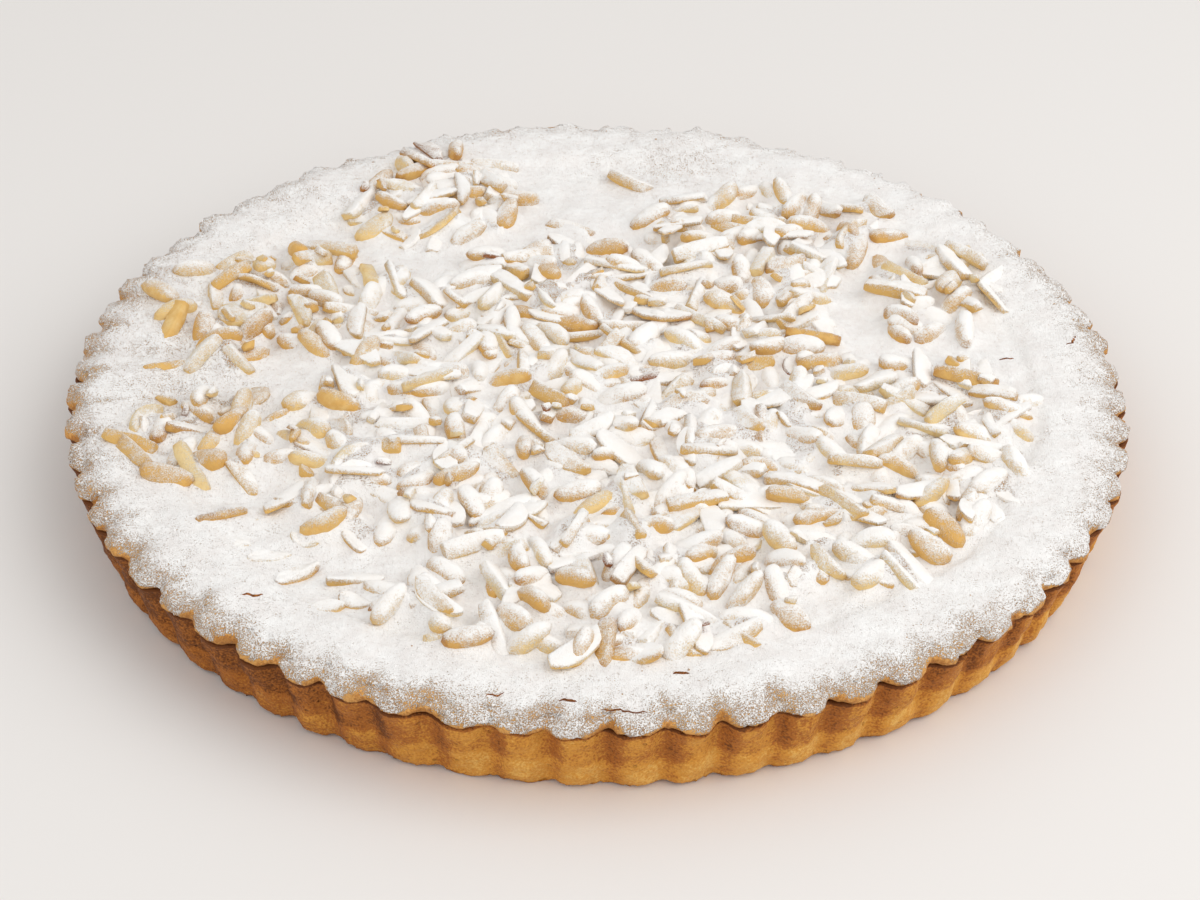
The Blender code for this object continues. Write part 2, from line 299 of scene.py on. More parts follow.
class HeightField:
    """The heights of the lid and of the nuts that already lie on it, on a square grid."""

    def __init__(self, rule: SettleRule) -> None:
        """Starts with the bare lid."""
        self.rule = rule
        count = int(2.0 * RIM_RADIUS / rule.step) + 1
        line = np.linspace(-RIM_RADIUS, RIM_RADIUS, count)
        radius = np.hypot(line[None, :], line[:, None])
        self.floor = LidShape.height(radius)
        self.top = self.floor.copy()

    def cells_under(self, nut: Nut) -> tuple[np.ndarray, np.ndarray, np.ndarray, np.ndarray]:
        """Finds the grid under a nut.

        Args:
            nut: The nut, with its place and heading.

        Returns:
            Rows, columns, and each cell's place along and across the nut, from -1 to 1.
        """
        step = self.rule.step
        reach = int(nut.length / 2.0 / step) + 2
        row = round((nut.y + RIM_RADIUS) / step)
        column = round((nut.x + RIM_RADIUS) / step)
        rows, columns = np.mgrid[row - reach : row + reach + 1, column - reach : column + reach + 1]
        dx = columns * step - RIM_RADIUS - nut.x
        dy = rows * step - RIM_RADIUS - nut.y
        cosine, sine = math.cos(nut.heading), math.sin(nut.heading)
        along = (dx * cosine + dy * sine) / (nut.length / 2.0)
        across = (dy * cosine - dx * sine) / (nut.width / 2.0)
        under = along**2 + across**2 < 1.0
        return rows[under], columns[under], along[under], across[under]

    def settle(self, nut: Nut, most_covered: float, highest: float) -> bool:
        """Lays a nut on what is under it, and adds it to the heights.

        Args:
            nut: The nut, whose pitch and height are set.
            most_covered: The share of its print that may lie on other nuts.
            highest: No nut's top may pass this height.

        Returns:
            True where it can stay.
        """
        rule = self.rule
        rows, columns, along, across = self.cells_under(nut)
        heights = self.top[rows, columns]
        if np.mean(heights > self.floor[rows, columns] + rule.touching) > most_covered:
            return False
        tail = np.percentile(heights[along < -rule.end_share], rule.percentile)
        head = np.percentile(heights[along > rule.end_share], rule.percentile)
        slope = math.atan2(head - tail, rule.end_spacing * nut.length)
        nut.pitch = max(-rule.most_pitch, min(rule.most_pitch, slope))
        nut.z = (head + tail) / 2.0 + nut.thick * (0.5 - rule.sunk_share)
        raised_end = nut.length / 2.0 * abs(math.sin(nut.pitch))
        if nut.z + math.hypot(raised_end, nut.thick / 2.0) > highest:
            return False
        bulge = nut.thick / 2.0 * np.sqrt(np.clip(1.0 - along**2 - across**2, 0.0, 1.0))
        lean = along * nut.length / 2.0 * math.tan(nut.pitch)
        np.maximum.at(self.top, (rows, columns), nut.z + bulge + lean)
        return True

    def blurred(self, values: np.ndarray, spread: float) -> np.ndarray:
        """Spreads a grid of values softly.

        Args:
            values: One number for each cell.
            spread: How far a value reaches, in metres.

        Returns:
            The softened grid.
        """
        cells = spread / self.rule.step
        reach = int(cells * 3.0)
        weights = np.exp(-0.5 * (np.arange(-reach, reach + 1) / cells) ** 2)
        weights /= weights.sum()
        soft = np.apply_along_axis(np.convolve, 0, values, weights, "same")
        return np.apply_along_axis(np.convolve, 1, soft, weights, "same")

    def drift(self) -> np.ndarray:
        """How high the sugar has drifted between the nuts, on the grid."""
        return self.rule.drift_share * self.blurred(self.top - self.floor, self.rule.drift_spread)

    def sample(self, values: np.ndarray, x: np.ndarray, y: np.ndarray) -> np.ndarray:
        """Reads a grid between its cells.

        Args:
            values: One number for each cell.
            x: Where to read, in metres to the right.
            y: Where to read, in metres away from the viewer.

        Returns:
            One number for each place.
        """
        last = values.shape[0] - 1.001
        column = np.clip((x + RIM_RADIUS) / self.rule.step, 0.0, last)
        row = np.clip((y + RIM_RADIUS) / self.rule.step, 0.0, last)
        left, low = column.astype(int), row.astype(int)
        right_share, high_share = column - left, row - low
        lower = values[low, left] * (1.0 - right_share) + values[low, left + 1] * right_share
        upper = values[low + 1, left] * (1.0 - right_share) + values[low + 1, left + 1] * right_share
        return lower * (1.0 - high_share) + upper * high_share


@dataclass(frozen=True)
class CaughtSugar:
    """How much sugar a nut catches, about from 0 to 1, by where it lies."""

    everywhere: float = 0.48
    spread: float = 0.20
    less_left: float = 0.222
    less_back: float = 0.048
    back_starts: Span = (0.25, 0.50)
    wiped_share: float = 0.09
    wiped: Span = (0.16, 0.40)
    drifted: Span = (0.50, 0.85)
    drifted_less_left: float = 0.30
    buried: Span = (0.30, 0.60)


@dataclass
class NutScatter:
    """The seeded fall of nuts on the lid: first those that the solids hold, then the rest of the heap."""

    seed: int = 11
    throws: int = 110000
    bottom_layer: int = 160
    in_solids: int = 196
    in_all: int = 660
    thinned_out: float = 0.62
    reach: float = 0.9
    most_covered: Triple = (0.12, 0.60, 0.80)
    most_roll: float = math.radians(20)
    # The left, where the dusting is thin and the nuts are fewer, ends between these shares of the rim radius
    left_ends: Span = (-0.70, -0.30)
    bits: int = 120
    bit_sizes: tuple[Span, ...] = ((0.0030, 0.0062), (0.0020, 0.0034), (0.0012, 0.0022))
    bit_roll: float = 0.8
    drifted_over: int = 190
    drifted_pines: float = 0.5
    drifted_proud: Span = (0.0002, 0.0015)
    drifted_turn: Span = (0.35, 0.15)
    buried_sizes: tuple[Span, ...] = ((0.008, 0.012), (0.004, 0.006))
    buried_thick: float = 0.0024
    buried_proud: Span = (0.00045, 0.00085)
    buried_heading: float = 0.6
    buried_turn: Span = (0.12, 0.06)
    sunk_more: Span = (0.0001, 0.0009)
    bits_sunk: float = 0.2
    # How an almond slice becomes a half slice: its share, its three sizes and its most roll
    flakes_halved: float = 0.92
    flake_to_half: Triple = (0.86, 0.62, 1.35)
    flake_half_roll: float = 1.1
    slivers_halved: float = 0.24
    sliver_to_half: Triple = (0.92, 1.10, 0.72)
    sliver_half_roll: float = 1.2
    sliver_roll: float = 0.9
    plump_pine: Triple = (1.12, 1.07, 1.0)
    rule: SettleRule = SettleRule()
    sugar: CaughtSugar = CaughtSugar()
    sizes: dict[NutKind, tuple[Span, ...]] = field(
        default_factory=lambda: {
            NutKind.PINE: ((0.0104, 0.0130), (0.0052, 0.0063), (0.0047, 0.0056)),
            NutKind.SLIVER: ((0.0120, 0.0175), (0.0037, 0.0050), (0.0029, 0.0038)),
            NutKind.FLAKE: ((0.0130, 0.0195), (0.0078, 0.0110), (0.0016, 0.0021)),
        }
    )
    shares: tuple[tuple[NutKind, float], ...] = (
        (NutKind.PINE, 0.66),
        (NutKind.SLIVER, 0.88),
        (NutKind.FLAKE, 1.0),
    )
    # Centre x, centre y, half-width, half-depth in shares of the rim radius, and how thickly the nuts lie
    patches: tuple[tuple[float, ...], ...] = (
        (0.08, -0.12, 0.70, 0.61, 1.00),
        (-0.34, 0.66, 0.17, 0.18, 0.90),
        (0.36, 0.56, 0.26, 0.15, 0.55),
        (0.66, 0.30, 0.13, 0.17, 0.80),
        (-0.62, 0.22, 0.27, 0.22, 0.75),
        (-0.68, -0.20, 0.20, 0.15, 0.70),
        (-0.02, -0.68, 0.38, 0.15, 0.60),
    )
    patch_edge: Span = (-0.06, 0.14)
    bare_patches: tuple[tuple[float, ...], ...] = (
        (-0.38, 0.40, 0.10, 0.09),
        (0.50, 0.24, 0.07, 0.12),
        (0.60, 0.10, 0.15, 0.06),
        (-0.55, 0.02, 0.11, 0.06),
        (-0.40, -0.56, 0.12, 0.07),
    )
    bare_edge: Span = (-0.25, 0.15)
    # Kind, x and y in shares of the rim radius, heading in degrees
    strays: tuple[tuple[NutKind, float, float, float], ...] = (
        (NutKind.SLIVER, 0.06, 0.74, -38),
        (NutKind.SLIVER, -0.06, 0.55, -30),
        (NutKind.SLIVER, -0.41, -0.62, 4),
        (NutKind.SLIVER, -0.24, -0.78, 0),
        (NutKind.PINE, -0.77, -0.34, -12),
        (NutKind.PINE, 0.06, -0.82, 4),
        (NutKind.SLIVER, -0.82, 0.02, 25),
        (NutKind.FLAKE, -0.66, -0.45, 30),
        (NutKind.PINE, 0.74, 0.42, 40),
    )
    # Places in shares of the rim radius
    half_buried: tuple[Span, ...] = (
        (-0.693, -0.455),
        (-0.630, -0.462),
        (-0.639, -0.515),
        (-0.565, -0.553),
        (-0.512, -0.600),
        (-0.450, -0.690),
        (-0.405, -0.676),
        (-0.509, -0.509),
        (0.700, -0.230),
        (-0.480, 0.300),
        (0.300, 0.720),
        (0.560, -0.520),
    )

    def fallen_at(self, draws: random.Random) -> Span:
        """Draws a place on the lid, in shares of the rim radius."""
        return draws.uniform(-self.reach, self.reach), draws.uniform(-self.reach, self.reach)

    def depth_inside(self, x: float, y: float, patch: tuple[float, ...]) -> float:
        """How deep a point lies in a patch: 1 at its centre, 0 at its edge, below 0 outside."""
        return 1.0 - math.hypot((x - patch[0]) / patch[2], (y - patch[1]) / patch[3])

    def density(self, x: float, y: float) -> float:
        """Chance that a nut stays where it fell, at a point in shares of the rim radius."""
        kept = max(
            patch[4] * float(smooth_step(*self.patch_edge, self.depth_inside(x, y, patch)))
            for patch in self.patches
        )
        for patch in self.bare_patches:
            kept *= 1.0 - float(smooth_step(*self.bare_edge, self.depth_inside(x, y, patch)))
        return kept

    def draw(self, kind: NutKind, x: float, y: float, heading: float, draws: random.Random) -> Nut:
        """Draws one nut.

        Args:
            kind: What it is.
            x: Its place to the right, in shares of the rim radius.
            y: Its place away from the viewer, in shares of the rim radius.
            heading: Its turn about Z.
            draws: The seeded random numbers.

        Returns:
            The nut, not yet settled.
        """
        length, width, thick = (draws.uniform(*limits) for limits in self.sizes[kind])
        most_roll = math.pi if kind is NutKind.PINE else self.most_roll
        roll = draws.uniform(-most_roll, most_roll)
        return Nut(kind, x * RIM_RADIUS, y * RIM_RADIUS, heading, length, width, thick, roll)

    def most_covered_now(self, count: int) -> float:
        """How much of the next nut may lie on others, once count nuts lie there."""
        if count < self.bottom_layer:
            return self.most_covered[0]
        return self.most_covered[1] if count < self.in_solids else self.most_covered[2]

    def scatter(self, highest_later: float) -> tuple[list[Nut], HeightField]:
        """Lets the nuts fall.

        Args:
            highest_later: The height that the nuts which the solids don't hold stay below.

        Returns:
            The nuts in the order in which they fell, and the heights with them.
        """
        draws = random.Random(self.seed)
        thinning = random.Random(self.seed + 5)
        heights = HeightField(self.rule)
        nuts: list[Nut] = []
        for kind, x, y, degrees in self.strays:
            nut = self.draw(kind, x, y, math.radians(degrees), draws)
            if heights.settle(nut, self.most_covered[0], self.rule.heap_top):
                nuts.append(nut)
        for _ in range(self.throws):
            x, y = self.fallen_at(draws)
            heading, choice, chance = draws.uniform(0.0, math.tau), draws.random(), draws.random()
            if chance > self.density(x, y):
                continue
            thinned = self.thinned_out * (1.0 - self.thick_dusting(x))
            if len(nuts) >= self.in_solids and thinning.random() < thinned:
                continue
            kind = next(name for name, share in self.shares if choice <= share)
            nut = self.draw(kind, x, y, heading, draws)
            highest = self.rule.heap_top if len(nuts) < self.in_solids else highest_later
            if heights.settle(nut, self.most_covered_now(len(nuts)), highest):
                nuts.append(nut)
            if len(nuts) == self.in_all:
                break
        self.strew_bits(nuts, heights, highest_later)
        self.dust(nuts)
        self.bury(nuts)
        self.drift_over(nuts, heights)
        return nuts, heights

    def drift_over(self, nuts: list[Nut], heights: HeightField) -> None:
        """Adds the nuts of the lowest layer, which the drifts between the others all but cover."""
        draws = random.Random(self.seed + 4)
        drift = heights.drift()
        wanted = len(nuts) + self.drifted_over
        while len(nuts) < wanted:
            x, y = self.fallen_at(draws)
            if draws.random() > self.density(x, y) * self.thick_dusting(x):
                continue
            whole = draws.random() < self.drifted_pines
            drawn_as = NutKind.PINE if whole else NutKind.FLAKE
            nut = self.draw(drawn_as, x, y, draws.uniform(0.0, math.tau), draws)
            if not whole:
                nut.kind = NutKind.HALF
                nut.width *= self.flake_to_half[1]
            nut.roll, nut.pitch = (draws.uniform(-most, most) for most in self.drifted_turn)
            place = np.array([nut.x]), np.array([nut.y])
            ground = heights.sample(heights.floor, *place)[0] + heights.sample(drift, *place)[0]
            nut.z = ground + draws.uniform(*self.drifted_proud) - nut.thick / 2.0
            less = self.sugar.drifted_less_left * (1.0 - self.thick_dusting(x))
            nut.cover = draws.uniform(*self.sugar.drifted) - less
            nuts.append(nut)

    def bury(self, nuts: list[Nut]) -> None:
        """Adds the slices that the sugar on the open ground all but hides."""
        draws = random.Random(self.seed + 3)
        for x, y in self.half_buried:
            length, width = (draws.uniform(*limits) for limits in self.buried_sizes)
            heading = draws.uniform(-self.buried_heading, self.buried_heading)
            nut = Nut(
                NutKind.FLAKE, x * RIM_RADIUS, y * RIM_RADIUS, heading, length, width, self.buried_thick, 0.0
            )
            nut.z = FLOOR_LEVEL + draws.uniform(*self.buried_proud) - nut.thick / 2.0
            nut.roll, nut.pitch = (draws.uniform(-most, most) for most in self.buried_turn)
            nut.cover = draws.uniform(*self.sugar.buried)
            nuts.append(nut)

    def thick_dusting(self, x: float) -> float:
        """1 where the sugar lies thick, and 0 on the left, at a place in shares of the rim radius."""
        return float(smooth_step(*self.left_ends, x))

    def strew_bits(self, nuts: list[Nut], heights: HeightField, highest: float) -> None:
        """Adds the small broken bits that lie between and on the nuts."""
        draws = random.Random(self.seed + 2)
        wanted = len(nuts) + self.bits
        while len(nuts) < wanted:
            x, y = self.fallen_at(draws)
            if draws.random() > self.density(x, y):
                continue
            length, width, thick = (draws.uniform(*limits) for limits in self.bit_sizes)
            heading, roll = draws.uniform(0.0, math.tau), draws.uniform(-self.bit_roll, self.bit_roll)
            bit = Nut(NutKind.SHARD, x * RIM_RADIUS, y * RIM_RADIUS, heading, length, width, thick, roll)
            if heights.settle(bit, 1.0, highest):
                nuts.append(bit)

    def dust(self, nuts: list[Nut]) -> None:
        """Decides how much sugar each nut caught, and turns some almonds into half slices."""
        draws = random.Random(self.seed + 1)
        sugar = self.sugar
        for nut in nuts:
            x, y = nut.x / RIM_RADIUS, nut.y / RIM_RADIUS
            thinner = sugar.less_left * (1.0 - self.thick_dusting(x))
            thinner += sugar.less_back * float(smooth_step(*sugar.back_starts, y))
            if draws.random() < sugar.wiped_share:
                thinner += draws.uniform(*sugar.wiped)
            nut.cover = sugar.everywhere - thinner + draws.uniform(-sugar.spread, sugar.spread)
            halved = draws.random()
            if nut.kind is NutKind.FLAKE and halved < self.flakes_halved:
                nut.kind = NutKind.HALF
                nut.resize(*self.flake_to_half)
                nut.roll = draws.uniform(-self.flake_half_roll, self.flake_half_roll)
            elif nut.kind is NutKind.PINE:
                nut.resize(*self.plump_pine)
            elif nut.kind is NutKind.SLIVER and halved < self.slivers_halved:
                nut.kind = NutKind.HALF
                nut.resize(*self.sliver_to_half)
                nut.roll = draws.uniform(-self.sliver_half_roll, self.sliver_half_roll)
            elif nut.kind is NutKind.SLIVER:
                nut.roll = draws.uniform(-self.sliver_roll, self.sliver_roll)
            nut.z -= draws.uniform(*self.sunk_more) * (self.bits_sunk if nut.kind is NutKind.SHARD else 1.0)


class LidShape:
    """The height of the lid's top, which the scatter, the lid and the crumbs share."""

    stops_radius = (0.0, 0.820, 0.935, 1.0)
    stops_rise = (FLOOR_RISE, FLOOR_RISE, 0.0026, 0.0)

    @classmethod
    def height(cls, radius: np.ndarray) -> np.ndarray:
        """Height of the plain lid, as the solids have it, at each distance from the middle."""
        return LID_LEVEL + np.interp(radius / RIM_RADIUS, cls.stops_radius, cls.stops_rise)


class FluteShape:
    """The unevenness of the fluted edge, which the wall and the lid share so that they line up."""

    drift = math.radians(0.9)
    depth_spread = 0.42
    seam_slow = 0.00080
    seam_quick = 0.00088

    @classmethod
    def wandering(cls, angle: np.ndarray) -> np.ndarray:
        """The angles that the even flute rule reads, so that the flutes stand a little off their places."""
        return angle + cls.drift * noise_round(angle, RoundLayer.FLUTE_PLACES)

    @classmethod
    def pressed(cls, angle: np.ndarray, depth: np.ndarray) -> np.ndarray:
        """How far the surface lies inside the flutes' crests.

        Args:
            angle: Angles round the tart.
            depth: The depth of a plain flute there.

        Returns:
            The depth at each angle, in metres.
        """
        strength = 1.0 + cls.depth_spread * noise_round(angle, RoundLayer.FLUTE_DEPTHS)
        return depth * strength * flute(cls.wandering(angle))

    @classmethod
    def seam_rise(cls, angle: np.ndarray) -> np.ndarray:
        """How the seam between case and lid rises and falls, in metres."""
        slow = cls.seam_slow * noise_round(angle, RoundLayer.SEAM_SLOW)
        return slow + cls.seam_quick * noise_round(angle, RoundLayer.SEAM_QUICK)


class RingStack:
    """A round shell that is drawn up ring by ring in edit mode, from its base to its top."""

    def __init__(self, name: str, columns: int, radius: float, height: float) -> None:
        """Adds the first ring."""
        deselect_all()
        bpy.ops.mesh.primitive_circle_add(vertices=columns, radius=radius, fill_type="NOTHING")
        self.obj = bpy.context.object
        self.obj.name = self.obj.data.name = name
        bpy.ops.object.mode_set(mode="EDIT")
        bpy.ops.mesh.select_mode(type="EDGE")
        bpy.ops.mesh.select_all(action="SELECT")
        bpy.ops.transform.translate(value=(0.0, 0.0, height))
        self.radius, self.height = radius, height

    def draw_up(self, radius: float, height: float) -> None:
        """Extrudes the open ring to a new radius and height."""
        rise = height - self.height
        bpy.ops.mesh.extrude_region_move(TRANSFORM_OT_translate={"value": (0.0, 0.0, rise)})
        share = radius / self.radius
        bpy.ops.transform.resize(value=(share, share, 1.0), center_override=(0.0, 0.0, height))
        self.radius, self.height = radius, height

    def fill_open_ring(self, span: int) -> None:
        """Closes the open ring with a grid of small faces, or one face where span is 0."""
        if span:
            bpy.ops.mesh.fill_grid(span=span, offset=0)
        else:
            bpy.ops.mesh.edge_face_add()

    def finish(self, base_columns: int) -> bpy.types.Object:
        """Closes the base, turns all faces outward and smooths them.

        Args:
            base_columns: How many vertices the first ring has.

        Returns:
            The closed piece, in object mode.
        """
        bpy.ops.mesh.select_all(action="DESELECT")
        shell = bmesh.from_edit_mesh(self.obj.data)
        shell.verts.ensure_lookup_table()
        first = set(shell.verts[:base_columns])
        for edge in shell.edges:
            edge.select = edge.verts[0] in first and edge.verts[1] in first
        bmesh.update_edit_mesh(self.obj.data)
        bpy.ops.mesh.edge_face_add()
        bpy.ops.mesh.select_all(action="SELECT")
        bpy.ops.mesh.normals_make_consistent(inside=False)
        bpy.ops.mesh.faces_shade_smooth()
        bpy.ops.object.mode_set(mode="OBJECT")
        return self.obj


@dataclass
class CrustWall:
    """The case's fluted wall with its filled inside, baked brown above and golden below."""

    name: str = "crust_wall"
    rows: int = 36
    top_share: float = 0.995
    # The rounded edges below and above the rows: how far in, and at what height
    base_rings: tuple[Span, ...] = ((0.0012, 0.0), (0.0003, 0.00015))
    top_rings: tuple[Span, ...] = ((0.0005, CASE_HEIGHT - 0.00012), (0.0016, CASE_HEIGHT))
    lowest_row: float = 0.0006
    rows_height: float = CASE_HEIGHT - 0.0011
    belly: float = 0.0004
    lump_depth: float = 0.0010
    grain_depth: float = 0.00045
    # From and to which share of its height the lumps set in, and the wavy seam
    lumps_from: Span = (0.0, 0.1)
    seam_from: Span = (0.5, 1.0)
    foot_depth: float = 0.0020
    foot_height: Span = (0.0018, 0.0002)
    golden_top: float = 0.0098
    golden_wave: float = 0.0026
    golden_blur: float = 0.0013
    # How brown it is all over and in the upper band, and the painted shade: in the grooves, set off to their
    # shaded side, at the seam, along the foot and on the left, away from the light
    baked: float = 0.18
    band: Triple = (0.22, 0.14, 0.10)
    band_right_from: Span = (0.1, 0.6)
    groove_shade: Span = (0.30, 0.04)
    groove_shade_deeper_from: Span = (0.2, 0.8)
    groove_shade_sharpness: float = 1.6
    shaded_side: float = 0.16
    # Painted shade at the seam under the lid and along the foot
    wall_seam_shade: float = 0.45
    wall_seam_shade_from: Span = (CASE_HEIGHT - 0.0010, CASE_HEIGHT - 0.0003)
    foot_shade: float = 0.40
    foot_shade_from: Span = (0.0010, 0.0002)
    # Painted shade on the left, the side away from the light
    left: float = 0.62
    left_shade_from: Span = (0.0, -0.9)

    def build(self) -> bpy.types.Object:
        """Draws up the wall and presses the flutes into it.

        Returns:
            The wall with its browning and painted shade stored.
        """
        base = RIM_RADIUS * BASE_SHARE
        top = RIM_RADIUS * self.top_share
        (inward, first_height), (second_inward, second_height) = self.base_rings
        stack = RingStack(self.name, FINE_COLUMNS, base - inward, first_height)
        stack.draw_up(base - second_inward, second_height)
        for row in range(self.rows + 1):
            height = self.lowest_row + row / self.rows * self.rows_height
            stack.draw_up(base + (top - base) * height / CASE_HEIGHT, height)
        for inward, height in self.top_rings:
            stack.draw_up(top - inward, height)
        stack.fill_open_ring(0)
        wall = stack.finish(FINE_COLUMNS)
        self.press(wall)
        return wall

    def press(self, wall: bpy.types.Object) -> None:
        """Moves the wall's points into flutes, lumps and a crumbly foot."""
        points = read_points(wall)
        radius, angle = polar(points)
        height = points[:, 2].copy()
        share = height / CASE_HEIGHT
        depth = BASE_FLUTE_DEPTH + (TOP_FLUTE_DEPTH - BASE_FLUTE_DEPTH) * share
        flat = np.stack([np.cos(angle) * RIM_RADIUS, np.sin(angle) * RIM_RADIUS, height], axis=1)
        boundary = self.golden_top + self.golden_wave * noise_at(flat * [1.0, 1.0, 0.0], Layer.CRUST_BAND)
        swell = self.belly * np.sin(np.clip(height / boundary, 0.0, 1.0) * math.pi)
        lumps = self.lump_depth * noise_at(flat, Layer.CRUST_LUMPS)
        lumps += self.grain_depth * noise_at(flat, Layer.CRUST_GRAIN)
        lumps *= smooth_step(*self.lumps_from, share)
        low_down = self.foot_depth * smooth_step(*self.foot_height, height)
        foot = low_down * np.abs(noise_at(flat, Layer.CRUST_FOOT))
        moved = radius - FluteShape.pressed(angle, depth) + swell + lumps - foot
        set_radius(points, radius, hold_inside(moved))
        points[:, 2] += FluteShape.seam_rise(angle) * smooth_step(*self.seam_from, share)
        write_points(wall, points)
        self.brown(wall, angle, height, smooth_step(-self.golden_blur, self.golden_blur, height - boundary))

    def brown(self, wall: bpy.types.Object, angle: np.ndarray, height: np.ndarray, above: np.ndarray) -> None:
        """Stores how brown each point of the wall is, and the painted shade in its grooves, at the seam,
        along its foot and on its left side.

        Args:
            wall: The wall.
            angle: The angle round the tart of each point.
            height: Its height.
            above: 1 in the darker band above, 0 in the golden one below.
        """
        rightward = np.cos(angle)
        # Painted shade in the grooves, set off towards the shaded flank of each valley
        groove_shade = flute(FluteShape.wandering(angle) - self.shaded_side * math.tau / FLUTES)
        groove_shade = groove_shade**self.groove_shade_sharpness
        band, band_right, band_uneven = self.band
        banded = band + band_right * smooth_step(*self.band_right_from, rightward)
        banded += band_uneven * noise_round(angle, RoundLayer.CRUST_BAND)
        deep, deeper_above = self.groove_shade
        bake_and_shade = self.baked + banded * above
        bake_and_shade += groove_shade * (deep + deeper_above * smooth_step(*self.groove_shade_deeper_from, height / CASE_HEIGHT))
        # Painted shade at the seam under the lid, and along the foot where the wall meets the floor
        bake_and_shade += self.wall_seam_shade * smooth_step(*self.wall_seam_shade_from, height)
        bake_and_shade += self.foot_shade * smooth_step(*self.foot_shade_from, height)
        # Painted shade on the left, the side away from the light
        bake_and_shade += self.left * smooth_step(*self.left_shade_from, rightward)
        write_values(wall, "bake_and_shade", bake_and_shade)

    def dress(self, wall: bpy.types.Object, finish: "BakedCrustFinish") -> None:
        """Gives the wall its finish and its place in the frame."""
        settle_piece(wall, finish.make(), "pastry_case")


@dataclass
class DustedLid:
    """The pastry lid under its icing sugar: fluted edge, raised rim, and drifts between the nuts."""

    name: str = "dusted_lid"
    underside_share: float = 0.975
    # The rounded outer edge from the underside up: radius in shares, and rise over the underside
    edge_rings: tuple[Span, ...] = (
        (0.9900, 0.00002),
        (0.9960, 0.00022),
        (0.9992, 0.00060),
        (1.0000, 0.00115),
        (0.9990, 0.00170),
        (0.9960, 0.00220),
    )
    first_ring: float = 0.9905
    rings: int = 27
    peak_share: float = 0.925
    peak: float = 0.0259
    edge_drop: float = 0.00235
    floor_share: float = 0.800
    border_share: float = 0.818
    border_wander: float = 0.016
    border_rise: float = 0.0010
    border_up: Span = (0.0, 0.020)
    border_down: Span = (0.03, 0.10)
    drifts_end: Span = (0.780, 0.90)
    grid_share: float = 0.790
    grid_span: int = 240
    valley_fill: float = 0.34
    flutes_from: Span = (0.952, 0.992)
    flute_wave: float = 0.00045
    wave_from: Span = (0.958, 0.990)
    craggy_from: Span = (0.88, 0.975)
    # How far lumps, crags and tears push the edge in or out
    ragged: Triple = (0.0007, 0.0008, 0.0013)
    # How much lumps, swells, crags, grain and tears raise or lower the top
    uneven: tuple[float, ...] = (0.00075, 0.00120, 0.00045, 0.00016, 0.00050)
    torn_from: Span = (0.93, 0.985)
    mean_crag: float = 0.25
    crowd_height: float = 0.0008
    crowd_spread: float = 0.0011
    # How much sugar lies there, and how much less at the edge, on crags and between crowded nuts
    dusted: float = 0.98
    edge_thin: float = 0.56
    edge_from: Span = (0.915, 1.0)
    crag_thin: float = 0.25
    crowd_thin: float = 0.34
    edge_patchy: Span = (0.95, 0.28)
    thin_patchy: float = 0.4
    crowded_from: Span = (0.965, 1.0)
    # Where the edge keeps its sugar: how much at the back and at the right, and how far round
    back_kept: float = 0.60
    back_from: Span = (0.10, 0.70)
    right_kept: float = 0.40
    right_from: Span = (0.40, 0.90)
    # How far above the underside the sugar stops on crests, and how much valleys, patches and tears add
    sugar_foot: tuple[float, ...] = (0.0005, 0.0015, 0.0011, 0.0015)
    blur_above: Span = (-0.0004, 0.0007)
    blur_below: Span = (-0.0002, 0.0008)
    bare_cover: float = 0.5
    at_edge: Span = (0.945, 0.970)
    # How brown it is all over, towards the edge and on the bare edge, and the painted shade at the seam below
    # and between crowded nuts
    baked: float = 0.12
    edge_baked: float = 0.20
    edge_baked_from: Span = (0.93, 1.0)
    bare_baked: Triple = (0.08, 0.22, 0.14)
    lid_seam_shade: float = 0.35
    seam_height: float = 0.0008
    crowd_shade: float = 0.10
    crowd_shade_from: Span = (0.93, 1.0)
    # Thin places: x, y, half-width, half-depth in shares of the rim radius, and how thin
    thin_patches: tuple[tuple[float, ...], ...] = (
        (-0.86, 0.06, 0.15, 0.50, 0.20),
        (-0.66, 0.04, 0.26, 0.42, 0.12),
        (-0.66, 0.68, 0.26, 0.16, 0.20),
        (-0.30, 0.90, 0.24, 0.08, 0.14),
        (0.15, 0.80, 0.18, 0.08, 0.26),
        (0.30, 0.92, 0.40, 0.08, 0.14),
        (0.96, 0.00, 0.08, 0.45, 0.24),
        (0.86, 0.50, 0.10, 0.22, 0.16),
        (-0.66, -0.64, 0.36, 0.22, 0.10),
        (0.00, -0.92, 0.60, 0.07, 0.14),
        (0.62, -0.74, 0.22, 0.14, 0.14),
        (0.70, -0.30, 0.20, 0.20, 0.12),
        (-0.74, -0.10, 0.10, 0.20, 0.10),
        (-0.05, 0.30, 0.30, 0.16, 0.10),
    )

    def rim_height(self, share: float) -> float:
        """Height of the rim's soft dome at a radius in shares."""
        if share > self.peak_share:
            beyond = (share - self.peak_share) / (1.0 - self.peak_share)
            return self.peak - self.edge_drop * beyond**2
        risen = float(smooth_step(self.floor_share, self.peak_share, share))
        return FLOOR_LEVEL + (self.peak - FLOOR_LEVEL) * risen

    def build(self, heights: HeightField) -> bpy.types.Object:
        """Draws up the lid and shapes its top.

        Args:
            heights: The nuts' heights, round which the sugar drifts.

        Returns:
            The lid with its browning, painted shade and sugar stored.
        """
        stack = RingStack(self.name, FINE_COLUMNS, RIM_RADIUS * self.underside_share, LID_BOTTOM)
        for share, rise in self.edge_rings:
            stack.draw_up(share * RIM_RADIUS, LID_BOTTOM + rise)
        for share in np.linspace(self.first_ring, self.grid_share, self.rings):
            stack.draw_up(share * RIM_RADIUS, self.rim_height(share))
        stack.fill_open_ring(self.grid_span)
        lid = stack.finish(FINE_COLUMNS)
        self.shape(lid, heights)
        return lid

